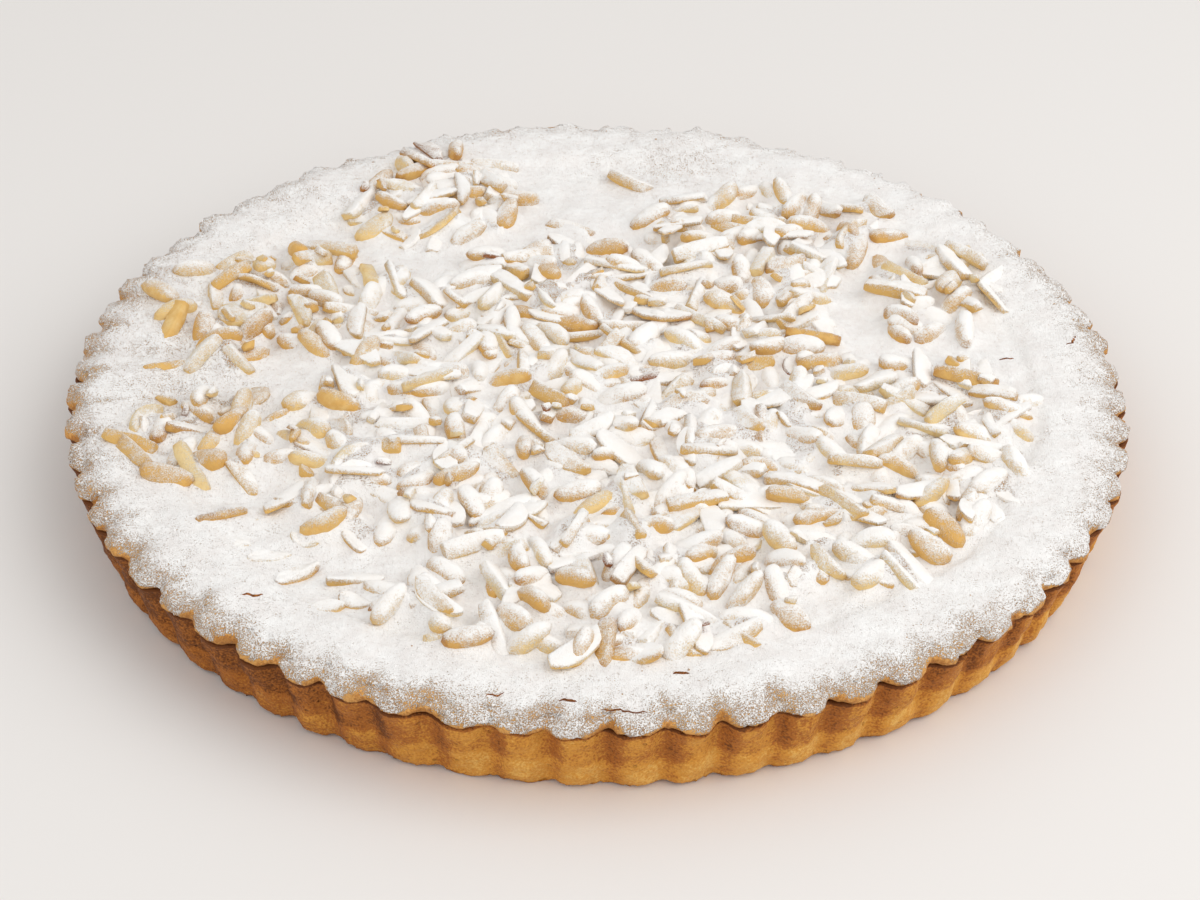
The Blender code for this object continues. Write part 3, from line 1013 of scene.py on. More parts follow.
    def shape(self, lid: bpy.types.Object, heights: HeightField) -> None:
        """Presses the flutes, piles the drifts and roughens the rim, then stores browning, painted shade and
        sugar.
        """
        points = read_points(lid)
        radius, angle = polar(points)
        share = radius / RIM_RADIUS
        height = points[:, 2].copy()
        upper = smooth_step(LID_BOTTOM + 0.2 * MM, LID_LEVEL, height)
        depth = TOP_FLUTE_DEPTH * (1.0 - self.valley_fill * upper) * smooth_step(*self.flutes_from, share)
        craggy = smooth_step(*self.craggy_from, share)
        lumps = noise_at(points, Layer.LID_LUMPS)
        crags = np.abs(noise_at(points, Layer.LID_CRAGS)) - self.mean_crag
        grain = noise_at(points, Layer.LID_GRAIN)
        torn = noise_at(points, Layer.LID_TORN)
        pushed = sum(far * layer for far, layer in zip(self.ragged, (lumps, crags, torn)))
        set_radius(points, radius, hold_inside(radius - FluteShape.pressed(angle, depth) + craggy * pushed))
        swells = noise_at(points, Layer.LID_SWELLS)
        layers = (lumps, swells, crags * craggy, grain, torn * smooth_step(*self.torn_from, share))
        rise = sum(high * layer for high, layer in zip(self.uneven, layers))
        wave = self.flute_wave * (0.5 - flute(FluteShape.wandering(angle)))
        rise += wave * smooth_step(*self.wave_from, share)
        past = share - self.border_share - self.border_wander * noise_round(angle, RoundLayer.LID_BORDER)
        rise += self.border_rise * (smooth_step(*self.border_up, past) - smooth_step(*self.border_down, past))
        drifted = 1.0 - smooth_step(*self.drifts_end, share)
        rise += heights.sample(heights.drift(), points[:, 0], points[:, 1]) * drifted
        points[:, 2] += upper * rise + (1.0 - upper) * FluteShape.seam_rise(angle)
        write_points(lid, points)
        under_nuts = (heights.top - heights.floor > self.crowd_height).astype(float)
        crowding = heights.blurred(under_nuts, self.crowd_spread)
        crowded = heights.sample(crowding, points[:, 0], points[:, 1])
        self.store_looks(lid, points, height, crags, crowded)

    def store_looks(
        self,
        lid: bpy.types.Object,
        points: np.ndarray,
        height: np.ndarray,
        crags: np.ndarray,
        crowded: np.ndarray,
    ) -> None:
        """Stores how brown each point of the lid is, the painted shade at its seam and between crowded nuts,
        and how much sugar lies on it.

        Args:
            lid: The lid.
            points: Its vertices.
            height: Their heights before the lid was roughened.
            crags: The roughness there, about 0 on average.
            crowded: The share of the ground round there that nuts lie on.
        """
        radius, angle = polar(points)
        crest_radius = radius + FluteShape.pressed(angle, np.full_like(radius, TOP_FLUTE_DEPTH))
        share = np.where(radius > 0.9 * RIM_RADIUS, crest_radius, radius) / RIM_RADIUS
        valley = flute(FluteShape.wandering(angle))
        patchy = noise_at(points, Layer.LID_PATCHES)
        torn = noise_at(points, Layer.LID_TORN)
        kept = np.maximum(
            self.back_kept * smooth_step(*self.back_from, np.sin(angle)),
            self.right_kept * smooth_step(*self.right_from, np.cos(angle)),
        )
        plain, patches = self.edge_patchy
        edge_thin = self.edge_thin * smooth_step(*self.edge_from, share)
        edge_thin = edge_thin * (plain + patches * patchy) * (1.0 - kept)
        cover = self.dusted - edge_thin - self.crag_thin * crags
        for x, y, half_width, half_depth, thin in self.thin_patches:
            away = np.hypot(
                (points[:, 0] / RIM_RADIUS - x) / half_width, (points[:, 1] / RIM_RADIUS - y) / half_depth
            )
            cover -= thin * np.exp(-(away**2)) * (1.0 + self.thin_patchy * patchy)
        foot, in_valleys, in_patches, in_tears = self.sugar_foot
        above_foot = height - LID_BOTTOM - foot - in_valleys * valley - in_patches * patchy - in_tears * torn
        at_edge = smooth_step(*self.at_edge, share)
        on_top = 1.0 - at_edge * (1.0 - smooth_step(*self.blur_above, above_foot))
        cover = cover * on_top - self.bare_cover * (1.0 - on_top)
        cover -= self.crowd_thin * smooth_step(*self.crowded_from, crowded)
        write_values(lid, "cover", cover)
        plain, valleys, patches = self.bare_baked
        bare_edge = at_edge * (1.0 - smooth_step(*self.blur_below, above_foot))
        bake_and_shade = self.baked + self.edge_baked * smooth_step(*self.edge_baked_from, share)
        bake_and_shade += bare_edge * (plain + valleys * valley + patches * patchy)
        # Painted shade along the seam at the lid's underside
        bake_and_shade += self.lid_seam_shade * smooth_step(LID_BOTTOM + self.seam_height, LID_BOTTOM, height)
        # Painted shade in the gaps between crowded nuts
        bake_and_shade += self.crowd_shade * smooth_step(*self.crowd_shade_from, crowded)
        write_values(lid, "bake_and_shade", bake_and_shade)

    def dress(self, lid: bpy.types.Object, finish: "DustedPastryFinish") -> None:
        """Gives the lid its finish and its place in the frame."""
        settle_piece(lid, finish.make(), "pastry_lid")


def settle_piece(obj: bpy.types.Object, look: bpy.types.Material, node: str) -> None:
    """Dresses a finished piece and ties it to the frame.

    Args:
        obj: The piece.
        look: Its material.
        node: The solid that it stands for.
    """
    obj.data.materials.clear()
    obj.data.materials.append(look)
    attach(obj, ROOT)
    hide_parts(node)
    LOG.info("%s: %d vertices, %d faces", obj.name, len(obj.data.vertices), len(obj.data.polygons))


def add_joined(name: str, points: np.ndarray, faces: Faces, size: int) -> bpy.types.Object:
    """Makes one mesh piece of many copies of a shape.

    Args:
        name: The piece's name.
        points: The points of all copies, one copy after another.
        faces: The faces of one copy.
        size: How many points a copy has.

    Returns:
        The piece.
    """
    firsts = range(0, len(points), size)
    joined = [tuple(first + corner for corner in face) for first in firsts for face in faces]
    mesh = bpy.data.meshes.new(name)
    mesh.from_pydata(points.tolist(), [], joined)
    mesh.update()
    obj = bpy.data.objects.new(name, mesh)
    bpy.context.scene.collection.objects.link(obj)
    return obj


class BlankShape:
    """A shape that is modelled once in edit mode, and then copied for every nut or crumb of its kind."""

    inset = 0.07

    def __init__(self) -> None:
        """Opens edit mode on the primitive that was just added, with all of it selected."""
        self.obj = bpy.context.object
        bpy.ops.object.mode_set(mode="EDIT")
        bpy.ops.mesh.select_all(action="SELECT")

    def pick(self, wanted: Callable[[Vector], bool], mode: str = "VERT") -> None:
        """Selects the vertices, or the faces by their middles, that a test picks out.

        Args:
            wanted: The test of a place.
            mode: "VERT" or "FACE".
        """
        bpy.ops.mesh.select_mode(type=mode)
        bpy.ops.mesh.select_all(action="DESELECT")
        shape = bmesh.from_edit_mesh(self.obj.data)
        if mode == "VERT":
            for vertex in shape.verts:
                vertex.select = wanted(vertex.co)
        else:
            for face in shape.faces:
                face.select = wanted(face.calc_center_median())
        shape.select_flush_mode()
        bmesh.update_edit_mesh(self.obj.data)

    def squeeze(self, wanted: Callable[[Vector], bool], along: float, across: float, upward: float) -> None:
        """Scales the picked vertices about the middle line."""
        self.pick(wanted)
        bpy.ops.transform.resize(value=(along, across, upward), center_override=(0.0, 0.0, 0.0))

    def cut(self, place: Span, facing: Span, **cleared: bool) -> None:
        """Cuts the whole shape straight down.

        Args:
            place: A point of the cut.
            facing: Which way the cut faces.
            cleared: Which side is taken away, if any.
        """
        bpy.ops.mesh.select_all(action="SELECT")
        bpy.ops.mesh.bisect(plane_co=(*place, 0.0), plane_no=(*facing, 0.0), **cleared)

    def thicken(self, thick: float, bulge: float) -> None:
        """Makes a slab of a flat outline, with two sides that bulge.

        Args:
            thick: How thick its rim is.
            bulge: How far each side bulges.
        """
        bpy.ops.mesh.select_all(action="SELECT")
        bpy.ops.mesh.extrude_region_move(TRANSFORM_OT_translate={"value": (0.0, 0.0, thick)})
        for level, outward in ((thick, bulge), (0.0, -bulge)):
            self.pick(lambda place: abs(place.z - level) < 0.01, "FACE")
            bpy.ops.mesh.inset(thickness=self.inset)
            bpy.ops.transform.translate(value=(0.0, 0.0, outward))
            bpy.ops.mesh.poke()

    def points_and_faces(self) -> Shape:
        """Leaves edit mode and takes the shape off the scene.

        Returns:
            The points, scaled to half-sizes of 1, and the faces.
        """
        bpy.ops.mesh.select_all(action="SELECT")
        bpy.ops.mesh.normals_make_consistent(inside=False)
        bpy.ops.object.mode_set(mode="OBJECT")
        points = read_points(self.obj)
        points -= (points.max(axis=0) + points.min(axis=0)) / 2.0
        points /= np.abs(points).max(axis=0)
        faces = [tuple(face.vertices) for face in self.obj.data.polygons]
        bpy.data.objects.remove(self.obj, do_unlink=True)
        return points, faces


def model_pine_nut() -> Shape:
    """A fat grain, round at one end and a little narrower at the other."""
    deselect_all()
    bpy.ops.mesh.primitive_cube_add(size=2.0)
    blank = BlankShape()
    bpy.ops.mesh.subdivide(number_cuts=3)
    bpy.ops.transform.tosphere(value=1.0)
    blank.squeeze(lambda place: abs(place.x) > 0.45, 1.0, 1.05, 1.05)
    blank.squeeze(lambda place: abs(place.x) > 0.95, 0.97, 1.10, 1.10)
    blank.squeeze(lambda place: place.x > 0.45, 1.03, 0.95, 0.95)
    blank.squeeze(lambda place: place.x > 0.95, 1.03, 0.92, 0.92)
    return blank.points_and_faces()


def model_sliver() -> Shape:
    """A four-sided stick that was cut from an almond, thinner at its ends."""
    deselect_all()
    bpy.ops.mesh.primitive_cube_add(size=2.0)
    blank = BlankShape()
    bpy.ops.transform.resize(value=(3.6, 1.0, 0.82))
    bpy.ops.mesh.bevel(offset=0.20, segments=1, affect="EDGES")
    for along in (-2.3, -0.8, 0.8, 2.3):
        blank.cut((along, 0.0), (1.0, 0.0))
    blank.squeeze(lambda place: place.x > 3.0, 1.0, 0.80, 0.84)
    blank.squeeze(lambda place: place.x > 2.0, 1.0, 0.92, 0.94)
    blank.squeeze(lambda place: place.x < -3.0, 1.0, 0.90, 0.78)
    blank.squeeze(lambda place: place.x < -2.0, 1.0, 0.97, 0.95)
    return blank.points_and_faces()


def model_flake() -> Shape:
    """A thin slice across an almond: a drop-shaped slab with a rounded rim."""
    deselect_all()
    bpy.ops.mesh.primitive_circle_add(vertices=18, radius=1.0, fill_type="NGON")
    blank = BlankShape()
    bpy.ops.transform.resize(value=(1.0, 0.62, 1.0))
    blank.squeeze(lambda place: place.x > 0.45, 1.04, 0.88, 1.0)
    blank.squeeze(lambda place: place.x > 0.75, 1.06, 0.78, 1.0)
    blank.thicken(0.13, 0.05)
    return blank.points_and_faces()


def model_half() -> Shape:
    """Half of an almond slice: one long side straight, the other bowed, and thinner towards the bow."""
    deselect_all()
    bpy.ops.mesh.primitive_circle_add(vertices=16, radius=1.0, fill_type="NGON")
    blank = BlankShape()
    bpy.ops.transform.resize(value=(1.0, 0.80, 1.0))
    blank.cut((0.0, -0.12), (0.10, 1.0), clear_inner=True)
    blank.cut((0.86, 0.0), (1.0, -0.45), clear_outer=True)
    blank.cut((-0.93, 0.0), (-1.0, -0.45), clear_outer=True)
    blank.thicken(0.30, 0.06)
    blank.squeeze(lambda place: place.y > 0.5, 0.96, 1.0, 0.70)
    blank.squeeze(lambda place: place.x > 0.7, 1.0, 0.88, 0.85)
    return blank.points_and_faces()


def model_shard() -> Shape:
    """A chunk that broke off an almond, with slanting faces."""
    deselect_all()
    bpy.ops.mesh.primitive_cube_add(size=2.0)
    blank = BlankShape()
    bpy.ops.transform.resize(value=(2.0, 1.1, 0.7))
    bpy.ops.mesh.bevel(offset=0.16, segments=1, affect="EDGES")
    blank.cut((0.0, 0.0), (1.0, 0.35))
    blank.squeeze(lambda place: place.x > 1.0, 1.0, 0.55, 0.80)
    blank.squeeze(lambda place: place.x < -1.0 and place.y > 0.0, 0.75, 0.80, 0.62)
    blank.squeeze(lambda place: place.z > 0.3, 0.90, 0.72, 1.0)
    return blank.points_and_faces()


def model_crumb() -> Shape:
    """A small angular lump."""
    deselect_all()
    bpy.ops.mesh.primitive_ico_sphere_add(subdivisions=1, radius=1.0)
    blank = BlankShape()
    blank.squeeze(lambda place: place.x > 0.5, 1.25, 0.7, 0.8)
    blank.squeeze(lambda place: place.z < -0.5, 1.1, 1.1, 0.75)
    return blank.points_and_faces()


def model_crack() -> Shape:
    """A thin strip with cuts across it, which is then bent into a jagged line."""
    deselect_all()
    bpy.ops.mesh.primitive_cube_add(size=2.0)
    blank = BlankShape()
    for along in np.linspace(-0.8, 0.8, 9):
        blank.cut((along, 0.0), (1.0, 0.0))
    blank.squeeze(lambda place: abs(place.x) > 0.95, 1.0, 0.3, 1.0)
    return blank.points_and_faces()


@dataclass
class NutHeap:
    """All nuts of one kind as one mesh, each bent and lumped a little in its own way."""

    name: str
    kind: NutKind
    slot: str
    model: Callable[[], Shape]
    bend: Span
    twist: float
    lump: float
    skin_share: float = 0.0
    sharp_angle: float = math.radians(60)
    least_proud: float = 0.0008
    taper: float = 0.12
    side_bend: float = 0.22
    bend_middle: float = 0.4
    toasted_tips: float = 0.22
    tips_from: Span = (0.60, 1.0)
    # Where the sugar was sifted from, and how much lies on what faces it, in patches and at the foot
    sifted_from: Triple = (0.24, 0.38, 0.89)
    faced: float = 0.60
    half_faced: float = 0.50
    patchy: float = 0.26
    at_foot: float = 0.40
    foot_heights: Span = (0.0013, 0.0002)
    foot_patches: Span = (-0.15, 0.20)
    # How much less lies under other nuts, and how far they have to be above
    sheltered: float = 0.30
    shelter_heights: Span = (0.0012, 0.0030)
    seed: int = 5

    def build(self, nuts: list[Nut], heights: HeightField, highest: float) -> bpy.types.Object:
        """Copies the shape to every nut of this kind.

        Args:
            nuts: All nuts that lie on the lid.
            heights: The heights with all nuts, which shelter what lies under them.
            highest: No nut rises above this height.

        Returns:
            The joined nuts with their sugar and tone stored.
        """
        shape, faces = self.model()
        tips = self.toasted_tips * smooth_step(*self.tips_from, np.abs(shape[:, 0]))
        draws = random.Random(self.seed)
        points, cover, tone = [], [], []
        ground = heights.floor + heights.drift()
        mine = [nut for nut in nuts if nut.kind is self.kind]
        for nut in mine:
            laid = self.laid(shape, nut, draws)
            proud = laid[:, 2] - heights.sample(ground, laid[:, 0], laid[:, 1])
            laid[:, 2] += max(0.0, self.least_proud - float(proud.max()))
            laid[:, 2] -= max(0.0, float(laid[:, 2].max()) - highest)
            points.append(laid)
            cover.append(np.full(len(shape), nut.cover))
            own_tone = draws.uniform(0.0, 1.0) + (1.0 if draws.random() < self.skin_share else 0.0)
            tone.append(own_tone + tips)
        placed = np.concatenate(points)
        for axis, layer in enumerate((Layer.NUT_LUMPS_X, Layer.NUT_LUMPS_Y, Layer.NUT_LUMPS_Z)):
            placed[:, axis] += self.lump * noise_at(placed, layer)
        heap = add_joined(self.name, placed, faces, len(shape))
        heap.select_set(True)
        bpy.context.view_layer.objects.active = heap
        bpy.ops.object.shade_smooth_by_angle(angle=self.sharp_angle)
        heap.select_set(False)
        self.dust(heap, placed, np.concatenate(cover), heights, ground)
        write_values(heap, "tone", np.concatenate(tone))
        return heap

    def laid(self, shape: np.ndarray, nut: Nut, draws: random.Random) -> np.ndarray:
        """Bends one copy of the shape and lays it in its place.

        Args:
            shape: The shape's points, with half-sizes of 1.
            nut: Where it lies.
            draws: The seeded random numbers.

        Returns:
            The copy's points.
        """
        own = shape.copy()
        bow = own[:, 0] ** 2 - self.bend_middle
        own[:, 1] *= 1.0 + draws.uniform(-self.taper, self.taper) * own[:, 0]
        own[:, 2] += draws.uniform(*self.bend) * bow
        own[:, 2] += draws.uniform(-self.twist, self.twist) * own[:, 0] * own[:, 1]
        own[:, 1] += draws.uniform(-self.side_bend, self.side_bend) * bow
        turned = np.array(nut.place())
        return own @ turned[:3, :3].T + turned[:3, 3]

    def dust(
        self,
        heap: bpy.types.Object,
        points: np.ndarray,
        cover: np.ndarray,
        heights: HeightField,
        ground: np.ndarray,
    ) -> None:
        """Stores the sugar: on what faces the sieve and at the foot, and not on what another nut shelters.

        Args:
            heap: The joined nuts.
            points: Their vertices.
            cover: How much sugar each nut caught.
            heights: The heights with all nuts.
            ground: The height of the drifts, on the same grid.
        """
        normals = np.empty(len(points) * 3)
        heap.data.vertices.foreach_get("normal", normals)
        facing = normals.reshape(-1, 3) @ np.array(self.sifted_from)
        foot = points[:, 2] - heights.sample(ground, points[:, 0], points[:, 1])
        climbed = smooth_step(*self.foot_heights, foot)
        climbed = climbed * smooth_step(*self.foot_patches, noise_at(points, Layer.NUT_FEET))
        above = heights.sample(heights.top, points[:, 0], points[:, 1]) - points[:, 2]
        lying = cover + self.faced * (facing - self.half_faced)
        lying += self.patchy * noise_at(points, Layer.NUT_PATCHES)
        lying += self.at_foot * climbed
        lying -= self.sheltered * smooth_step(*self.shelter_heights, above)
        write_values(heap, "cover", lying)

    def dress(self, heap: bpy.types.Object, finish: "DustedNutFinish") -> None:
        """Gives the nuts their finish and their place in the frame."""
        settle_piece(heap, finish.make(), "pastry_lid")


def lid_under(lid: bpy.types.Object, x: float, y: float) -> Vector | None:
    """The point of the lid straight under a place, if there is one."""
    found, place, _, _ = lid.ray_cast(Vector((x, y, OVERHEAD)), Vector((0.0, 0.0, -1.0)))
    return place if found else None


@dataclass
class Crumbs:
    """Lumps of sugar and of dough that lie loose on the lid."""

    name: str = "sugar_crumbs"
    count: int = 1100
    radii: Span = (0.00016, 0.00042)
    least_share: float = 0.6
    reach: Span = (0.80, 0.985)
    outward: float = 0.55
    lowest: float = LID_LEVEL - 0.5 * MM
    lopsided: Span = (0.7, 1.3)
    turned_about: Span = (0.4, 0.7)
    lifted: float = 0.1
    of_sugar: float = 0.98
    # How much sugar is stored for a lump of sugar and for one of dough, and how brown both are
    covers: Span = (1.2, 0.2)
    baked: float = 0.35
    seed: int = 23

    def build(self, lid: bpy.types.Object) -> bpy.types.Object:
        """Strews the crumbs over the lid, more of them towards the rim.

        Args:
            lid: The finished lid that they lie on.

        Returns:
            The joined crumbs.
        """
        shape, faces = model_crumb()
        draws = random.Random(self.seed)
        points, cover = [], []
        while len(points) < self.count:
            share = self.reach[0] + (self.reach[1] - self.reach[0]) * draws.random() ** self.outward
            angle = draws.uniform(0.0, math.tau)
            place = lid_under(lid, share * RIM_RADIUS * math.cos(angle), share * RIM_RADIUS * math.sin(angle))
            if place is None or place.z < self.lowest:
                continue
            radius = draws.uniform(*self.radii) * draws.uniform(self.least_share, 1.0)
            turn = draws.uniform(0.0, math.tau)
            turned = Matrix.Rotation(turn, 3, Vector((draws.random(), *self.turned_about)))
            sizes = np.array([draws.uniform(*self.lopsided) for _ in range(3)]) * radius
            middle = np.array(place) + [0.0, 0.0, self.lifted * radius]
            points.append((shape * sizes) @ np.array(turned).T + middle)
            sugary = draws.random() < self.of_sugar
            cover.append(np.full(len(shape), self.covers[0] if sugary else self.covers[1]))
        crumbs = add_joined(self.name, np.concatenate(points), faces, len(shape))
        write_values(crumbs, "cover", np.concatenate(cover))
        write_values(crumbs, "bake_and_shade", np.full(self.count * len(shape), self.baked))
        return crumbs

    def dress(self, crumbs: bpy.types.Object, look: bpy.types.Material) -> None:
        """Gives the crumbs the lid's finish."""
        settle_piece(crumbs, look, "pastry_lid")


@dataclass
class RimCracks:
    """The short cracks in the rim, where dark dough shows through the sugar."""

    name: str = "rim_cracks"
    # x and y in shares of the rim radius, heading in degrees, length and width in millimetres
    places: tuple[tuple[float, float, float, float, float], ...] = (
        (-0.579, -0.678, 12.0, 5.0, 0.75),
        (-0.041, -0.936, -14.0, 4.2, 0.80),
        (0.050, -0.958, -6.0, 10.5, 0.55),
        (0.143, -0.867, 4.0, 3.8, 0.90),
        (0.784, 0.092, 20.0, 4.2, 0.60),
        (0.913, 0.130, 55.0, 5.0, 0.70),
        (-0.160, -0.924, 8.0, 4.5, 0.45),
    )
    narrowest: float = 0.25
    wander: float = 0.0011
    proud: float = 0.00006
    baked: float = 0.95

    def build(self, lid: bpy.types.Object) -> bpy.types.Object:
        """Lays each crack on the lid.

        Args:
            lid: The finished lid.

        Returns:
            The joined cracks.
        """
        shape, faces = model_crack()
        swollen = np.sqrt(np.clip(1.0 - shape[:, 0] ** 2, 0.0, 1.0))
        swollen = self.narrowest + (1.0 - self.narrowest) * swollen
        points = []
        for index, (x, y, degrees, length, width) in enumerate(self.places):
            heading = math.radians(degrees)
            along = shape[:, 0] * length * MM / 2.0
            own = np.stack([along + index, along * 0.0, along * 0.0], axis=1)
            across = shape[:, 1] * width * MM / 2.0 * swollen + self.wander * noise_at(own, Layer.CRACK_PATH)
            world_x = x * RIM_RADIUS + along * math.cos(heading) - across * math.sin(heading)
            world_y = y * RIM_RADIUS + along * math.sin(heading) + across * math.cos(heading)
            world_z = np.array([lid_under(lid, a, b).z for a, b in zip(world_x, world_y)])
            points.append(np.stack([world_x, world_y, world_z + self.proud * shape[:, 2]], axis=1))
        cracks = add_joined(self.name, np.concatenate(points), faces, len(shape))
        write_values(cracks, "bake_and_shade", np.full(len(points) * len(shape), self.baked))
        return cracks

    def dress(self, cracks: bpy.types.Object, look: bpy.types.Material) -> None:
        """Gives the cracks the bare crust's finish."""
        settle_piece(cracks, look, "pastry_lid")


Socket = bpy.types.NodeSocket
Source = Socket | float | tuple[float, ...]

# Sizes in metres of the lumps that surfaces are made of
SUGAR_GRAIN = 0.00034
SUGAR_CLUMP = 0.0016
SUGAR_SHADE = 0.006
DOUGH_GRAIN = 0.0007
DOUGH_LUMP = 0.0034
DOUGH_PIT = 0.0038
NUT_MOTTLE = 0.0022
NUT_GRAIN = 0.0009

# Size in metres, detail and strength of the patches, the mottling and the fine grain of browned dough
BROWNING_LAYERS = ((0.010, 3.0, 0.50), (0.0030, 4.0, 0.36), (0.0006, 3.0, 1.00))
BROWNING_STEPS = (("Golden", 0.00, 0.34), ("Brown", 0.34, 0.68), ("Dark", 0.68, 1.05))


class NodeSheet:
    """Places nodes in one tree and joins them."""

    def __init__(self, tree: bpy.types.NodeTree) -> None:
        """Takes the tree to work on."""
        self.tree = tree

    def add(self, kind: str, **settings: object) -> bpy.types.Node:
        """Adds a node with its settings."""
        node = self.tree.nodes.new(kind)
        for name, value in settings.items():
            setattr(node, name, value)
        return node

    def feed(self, target: Socket, source: Source) -> None:
        """Joins a socket to another, or sets its value."""
        if isinstance(source, bpy.types.NodeSocket):
            self.tree.links.new(source, target)
        else:
            target.default_value = source

    def sum(self, first: Source, second: Source, operation: str = "ADD") -> Socket:
        """One step of arithmetic."""
        node = self.add("ShaderNodeMath", operation=operation)
        self.feed(node.inputs[0], first)
        self.feed(node.inputs[1], second)
        return node.outputs[0]

    def times(self, first: Source, second: Source) -> Socket:
        """The product of two values."""
        return self.sum(first, second, "MULTIPLY")

    def step(
        self, low: float, high: float, value: Socket, lowest: float = 0.0, highest: float = 1.0
    ) -> Socket:
        """Rises softly from lowest to highest between low and high."""
        node = self.add("ShaderNodeMapRange", interpolation_type="SMOOTHSTEP")
        for name, number in (("From Min", low), ("From Max", high), ("To Min", lowest), ("To Max", highest)):
            node.inputs[name].default_value = number
        self.feed(node.inputs["Value"], value)
        return node.outputs["Result"]

    def blend(self, share: Socket, first: Source, second: Source) -> Socket:
        """Goes from the first colour to the second."""
        node = self.add("ShaderNodeMix", data_type="RGBA")
        self.feed(node.inputs["Factor"], share)
        self.feed(node.inputs[6], first)
        self.feed(node.inputs[7], second)
        return node.outputs[2]

    def speckle(self, place: Socket, size: float, detail: float = 2.0) -> Socket:
        """Soft noise from about -0.5 to 0.5, with lumps of a size in metres."""
        node = self.add("ShaderNodeTexNoise")
        node.inputs["Scale"].default_value = 1.0 / size
        node.inputs["Detail"].default_value = detail
        self.feed(node.inputs["Vector"], place)
        return self.sum(node.outputs[0], -0.5)

    def value(self, name: str) -> Socket:
        """A number that the piece stores for each point."""
        return self.add("ShaderNodeAttribute", attribute_name=name).outputs["Fac"]

    def group(self, tree: bpy.types.NodeTree, **values: Source) -> bpy.types.Node:
        """Places a shared effect with its values."""
        node = self.add("ShaderNodeGroup", node_tree=tree)
        for name, value in values.items():
            self.feed(node.inputs[name], value)
        return node


class SharedEffect:
    """One shader node group with named inputs and outputs."""

    kinds = {"Place": "NodeSocketVector", "Value": "NodeSocketFloat", "Colour": "NodeSocketColor"}

    def __init__(self, name: str, inputs: dict[str, str], outputs: dict[str, str]) -> None:
        """Makes the group and its sockets, each of a kind from the table above."""
        self.tree = bpy.data.node_groups.new(name, "ShaderNodeTree")
        for direction, sockets in (("INPUT", inputs), ("OUTPUT", outputs)):
            for socket, kind in sockets.items():
                self.tree.interface.new_socket(name=socket, in_out=direction, socket_type=self.kinds[kind])
        self.sheet = NodeSheet(self.tree)
        self.given = self.sheet.add("NodeGroupInput").outputs
        self.result = self.sheet.add("NodeGroupOutput").inputs


def make_browning() -> bpy.types.NodeTree:
    """How dough takes colour in the oven: pale, golden, brown and then dark, in soft patches; the value it
    reads also carries painted shade.
    """
    inputs = {"Place": "Place", "Bake": "Value"}
    inputs.update({name: "Colour" for name in ("Pale", "Golden", "Brown", "Dark")})
    effect = SharedEffect("oven_browning", inputs, {"Colour": "Colour"})
    sheet, given = effect.sheet, effect.given
    baked, colour = given["Bake"], given["Pale"]
    for size, detail, strength in BROWNING_LAYERS:
        baked = sheet.sum(baked, sheet.times(sheet.speckle(given["Place"], size, detail), strength))
    for name, low, high in BROWNING_STEPS:
        colour = sheet.blend(sheet.step(low, high, baked), colour, given[name])
    sheet.feed(effect.result["Colour"], colour)
    return effect.tree


def make_dusting() -> bpy.types.NodeTree:
    """Where icing sugar lies, with a grainy edge, and the relief of its grains."""
    effect = SharedEffect(
        "sugar_dusting",
        {"Place": "Place", "Cover": "Value", "Grains": "Value"},
        {"Mask": "Value", "Grain": "Value", "Shade": "Value"},
    )
    sheet, given = effect.sheet, effect.given
    fine = sheet.speckle(given["Place"], SUGAR_GRAIN)
    clumps = sheet.speckle(given["Place"], SUGAR_CLUMP)
    uneven = sheet.sum(sheet.times(fine, given["Grains"]), sheet.times(clumps, 0.35))
    lying = sheet.sum(given["Cover"], uneven)
    sheet.feed(effect.result["Mask"], sheet.step(-0.04, 0.62, lying))
    sheet.feed(effect.result["Grain"], sheet.sum(sheet.times(fine, 0.8), sheet.times(clumps, 0.7)))
    shade = sheet.sum(sheet.speckle(given["Place"], SUGAR_SHADE, 3.0), sheet.times(clumps, 0.6))
    sheet.feed(effect.result["Shade"], sheet.step(-0.35, 0.35, shade))
    return effect.tree


def make_crumb_grain() -> bpy.types.NodeTree:
    """The short, sandy surface of baked dough: fine grain, small pits and shallow scratches."""
    inputs = {"Place": "Place", "Pits": "Value"}
    effect = SharedEffect("crumb_grain", inputs, {"Height": "Value", "Shine": "Value"})
    sheet, given = effect.sheet, effect.given
    grain = sheet.speckle(given["Place"], DOUGH_GRAIN, 3.0)
    lumps = sheet.speckle(given["Place"], DOUGH_LUMP, 3.0)
    cells = sheet.add("ShaderNodeTexVoronoi")
    cells.inputs["Scale"].default_value = 1.0 / DOUGH_PIT
    sheet.feed(cells.inputs["Vector"], given["Place"])
    pit = sheet.times(sheet.step(0.02, 0.16, cells.outputs["Distance"], 1.0, 0.0), given["Pits"])
    height = sheet.sum(sheet.sum(sheet.times(grain, 0.6), sheet.times(lumps, 0.9)), pit, "SUBTRACT")
    sheet.feed(effect.result["Height"], height)
    sheet.feed(effect.result["Shine"], sheet.step(-0.3, 0.3, lumps, 0.55, 0.75))
    return effect.tree


@dataclass
class Effects:
    """The shared effects, each built once."""

    browning: bpy.types.NodeTree = field(default_factory=make_browning)
    dusting: bpy.types.NodeTree = field(default_factory=make_dusting)
    grain: bpy.types.NodeTree = field(default_factory=make_crumb_grain)


@dataclass(frozen=True)
class DoughColours:
    """What baked shortcrust looks like, from its palest to its darkest."""

    pale: Colour = linear(232, 182, 97)
    golden: Colour = linear(212, 148, 61)
    brown: Colour = linear(172, 104, 41)
    dark: Colour = linear(106, 58, 20)

    def as_inputs(self) -> dict[str, Colour]:
        """The colours under the names that the browning effect gives them."""
        return {"Pale": self.pale, "Golden": self.golden, "Brown": self.brown, "Dark": self.dark}


@dataclass(frozen=True)
class SugarColours:
    """Icing sugar where it lies thick and where it is thin or in its own shade."""

    bright: Colour = linear(250, 249, 247)
    dull: Colour = linear(240, 236, 233)


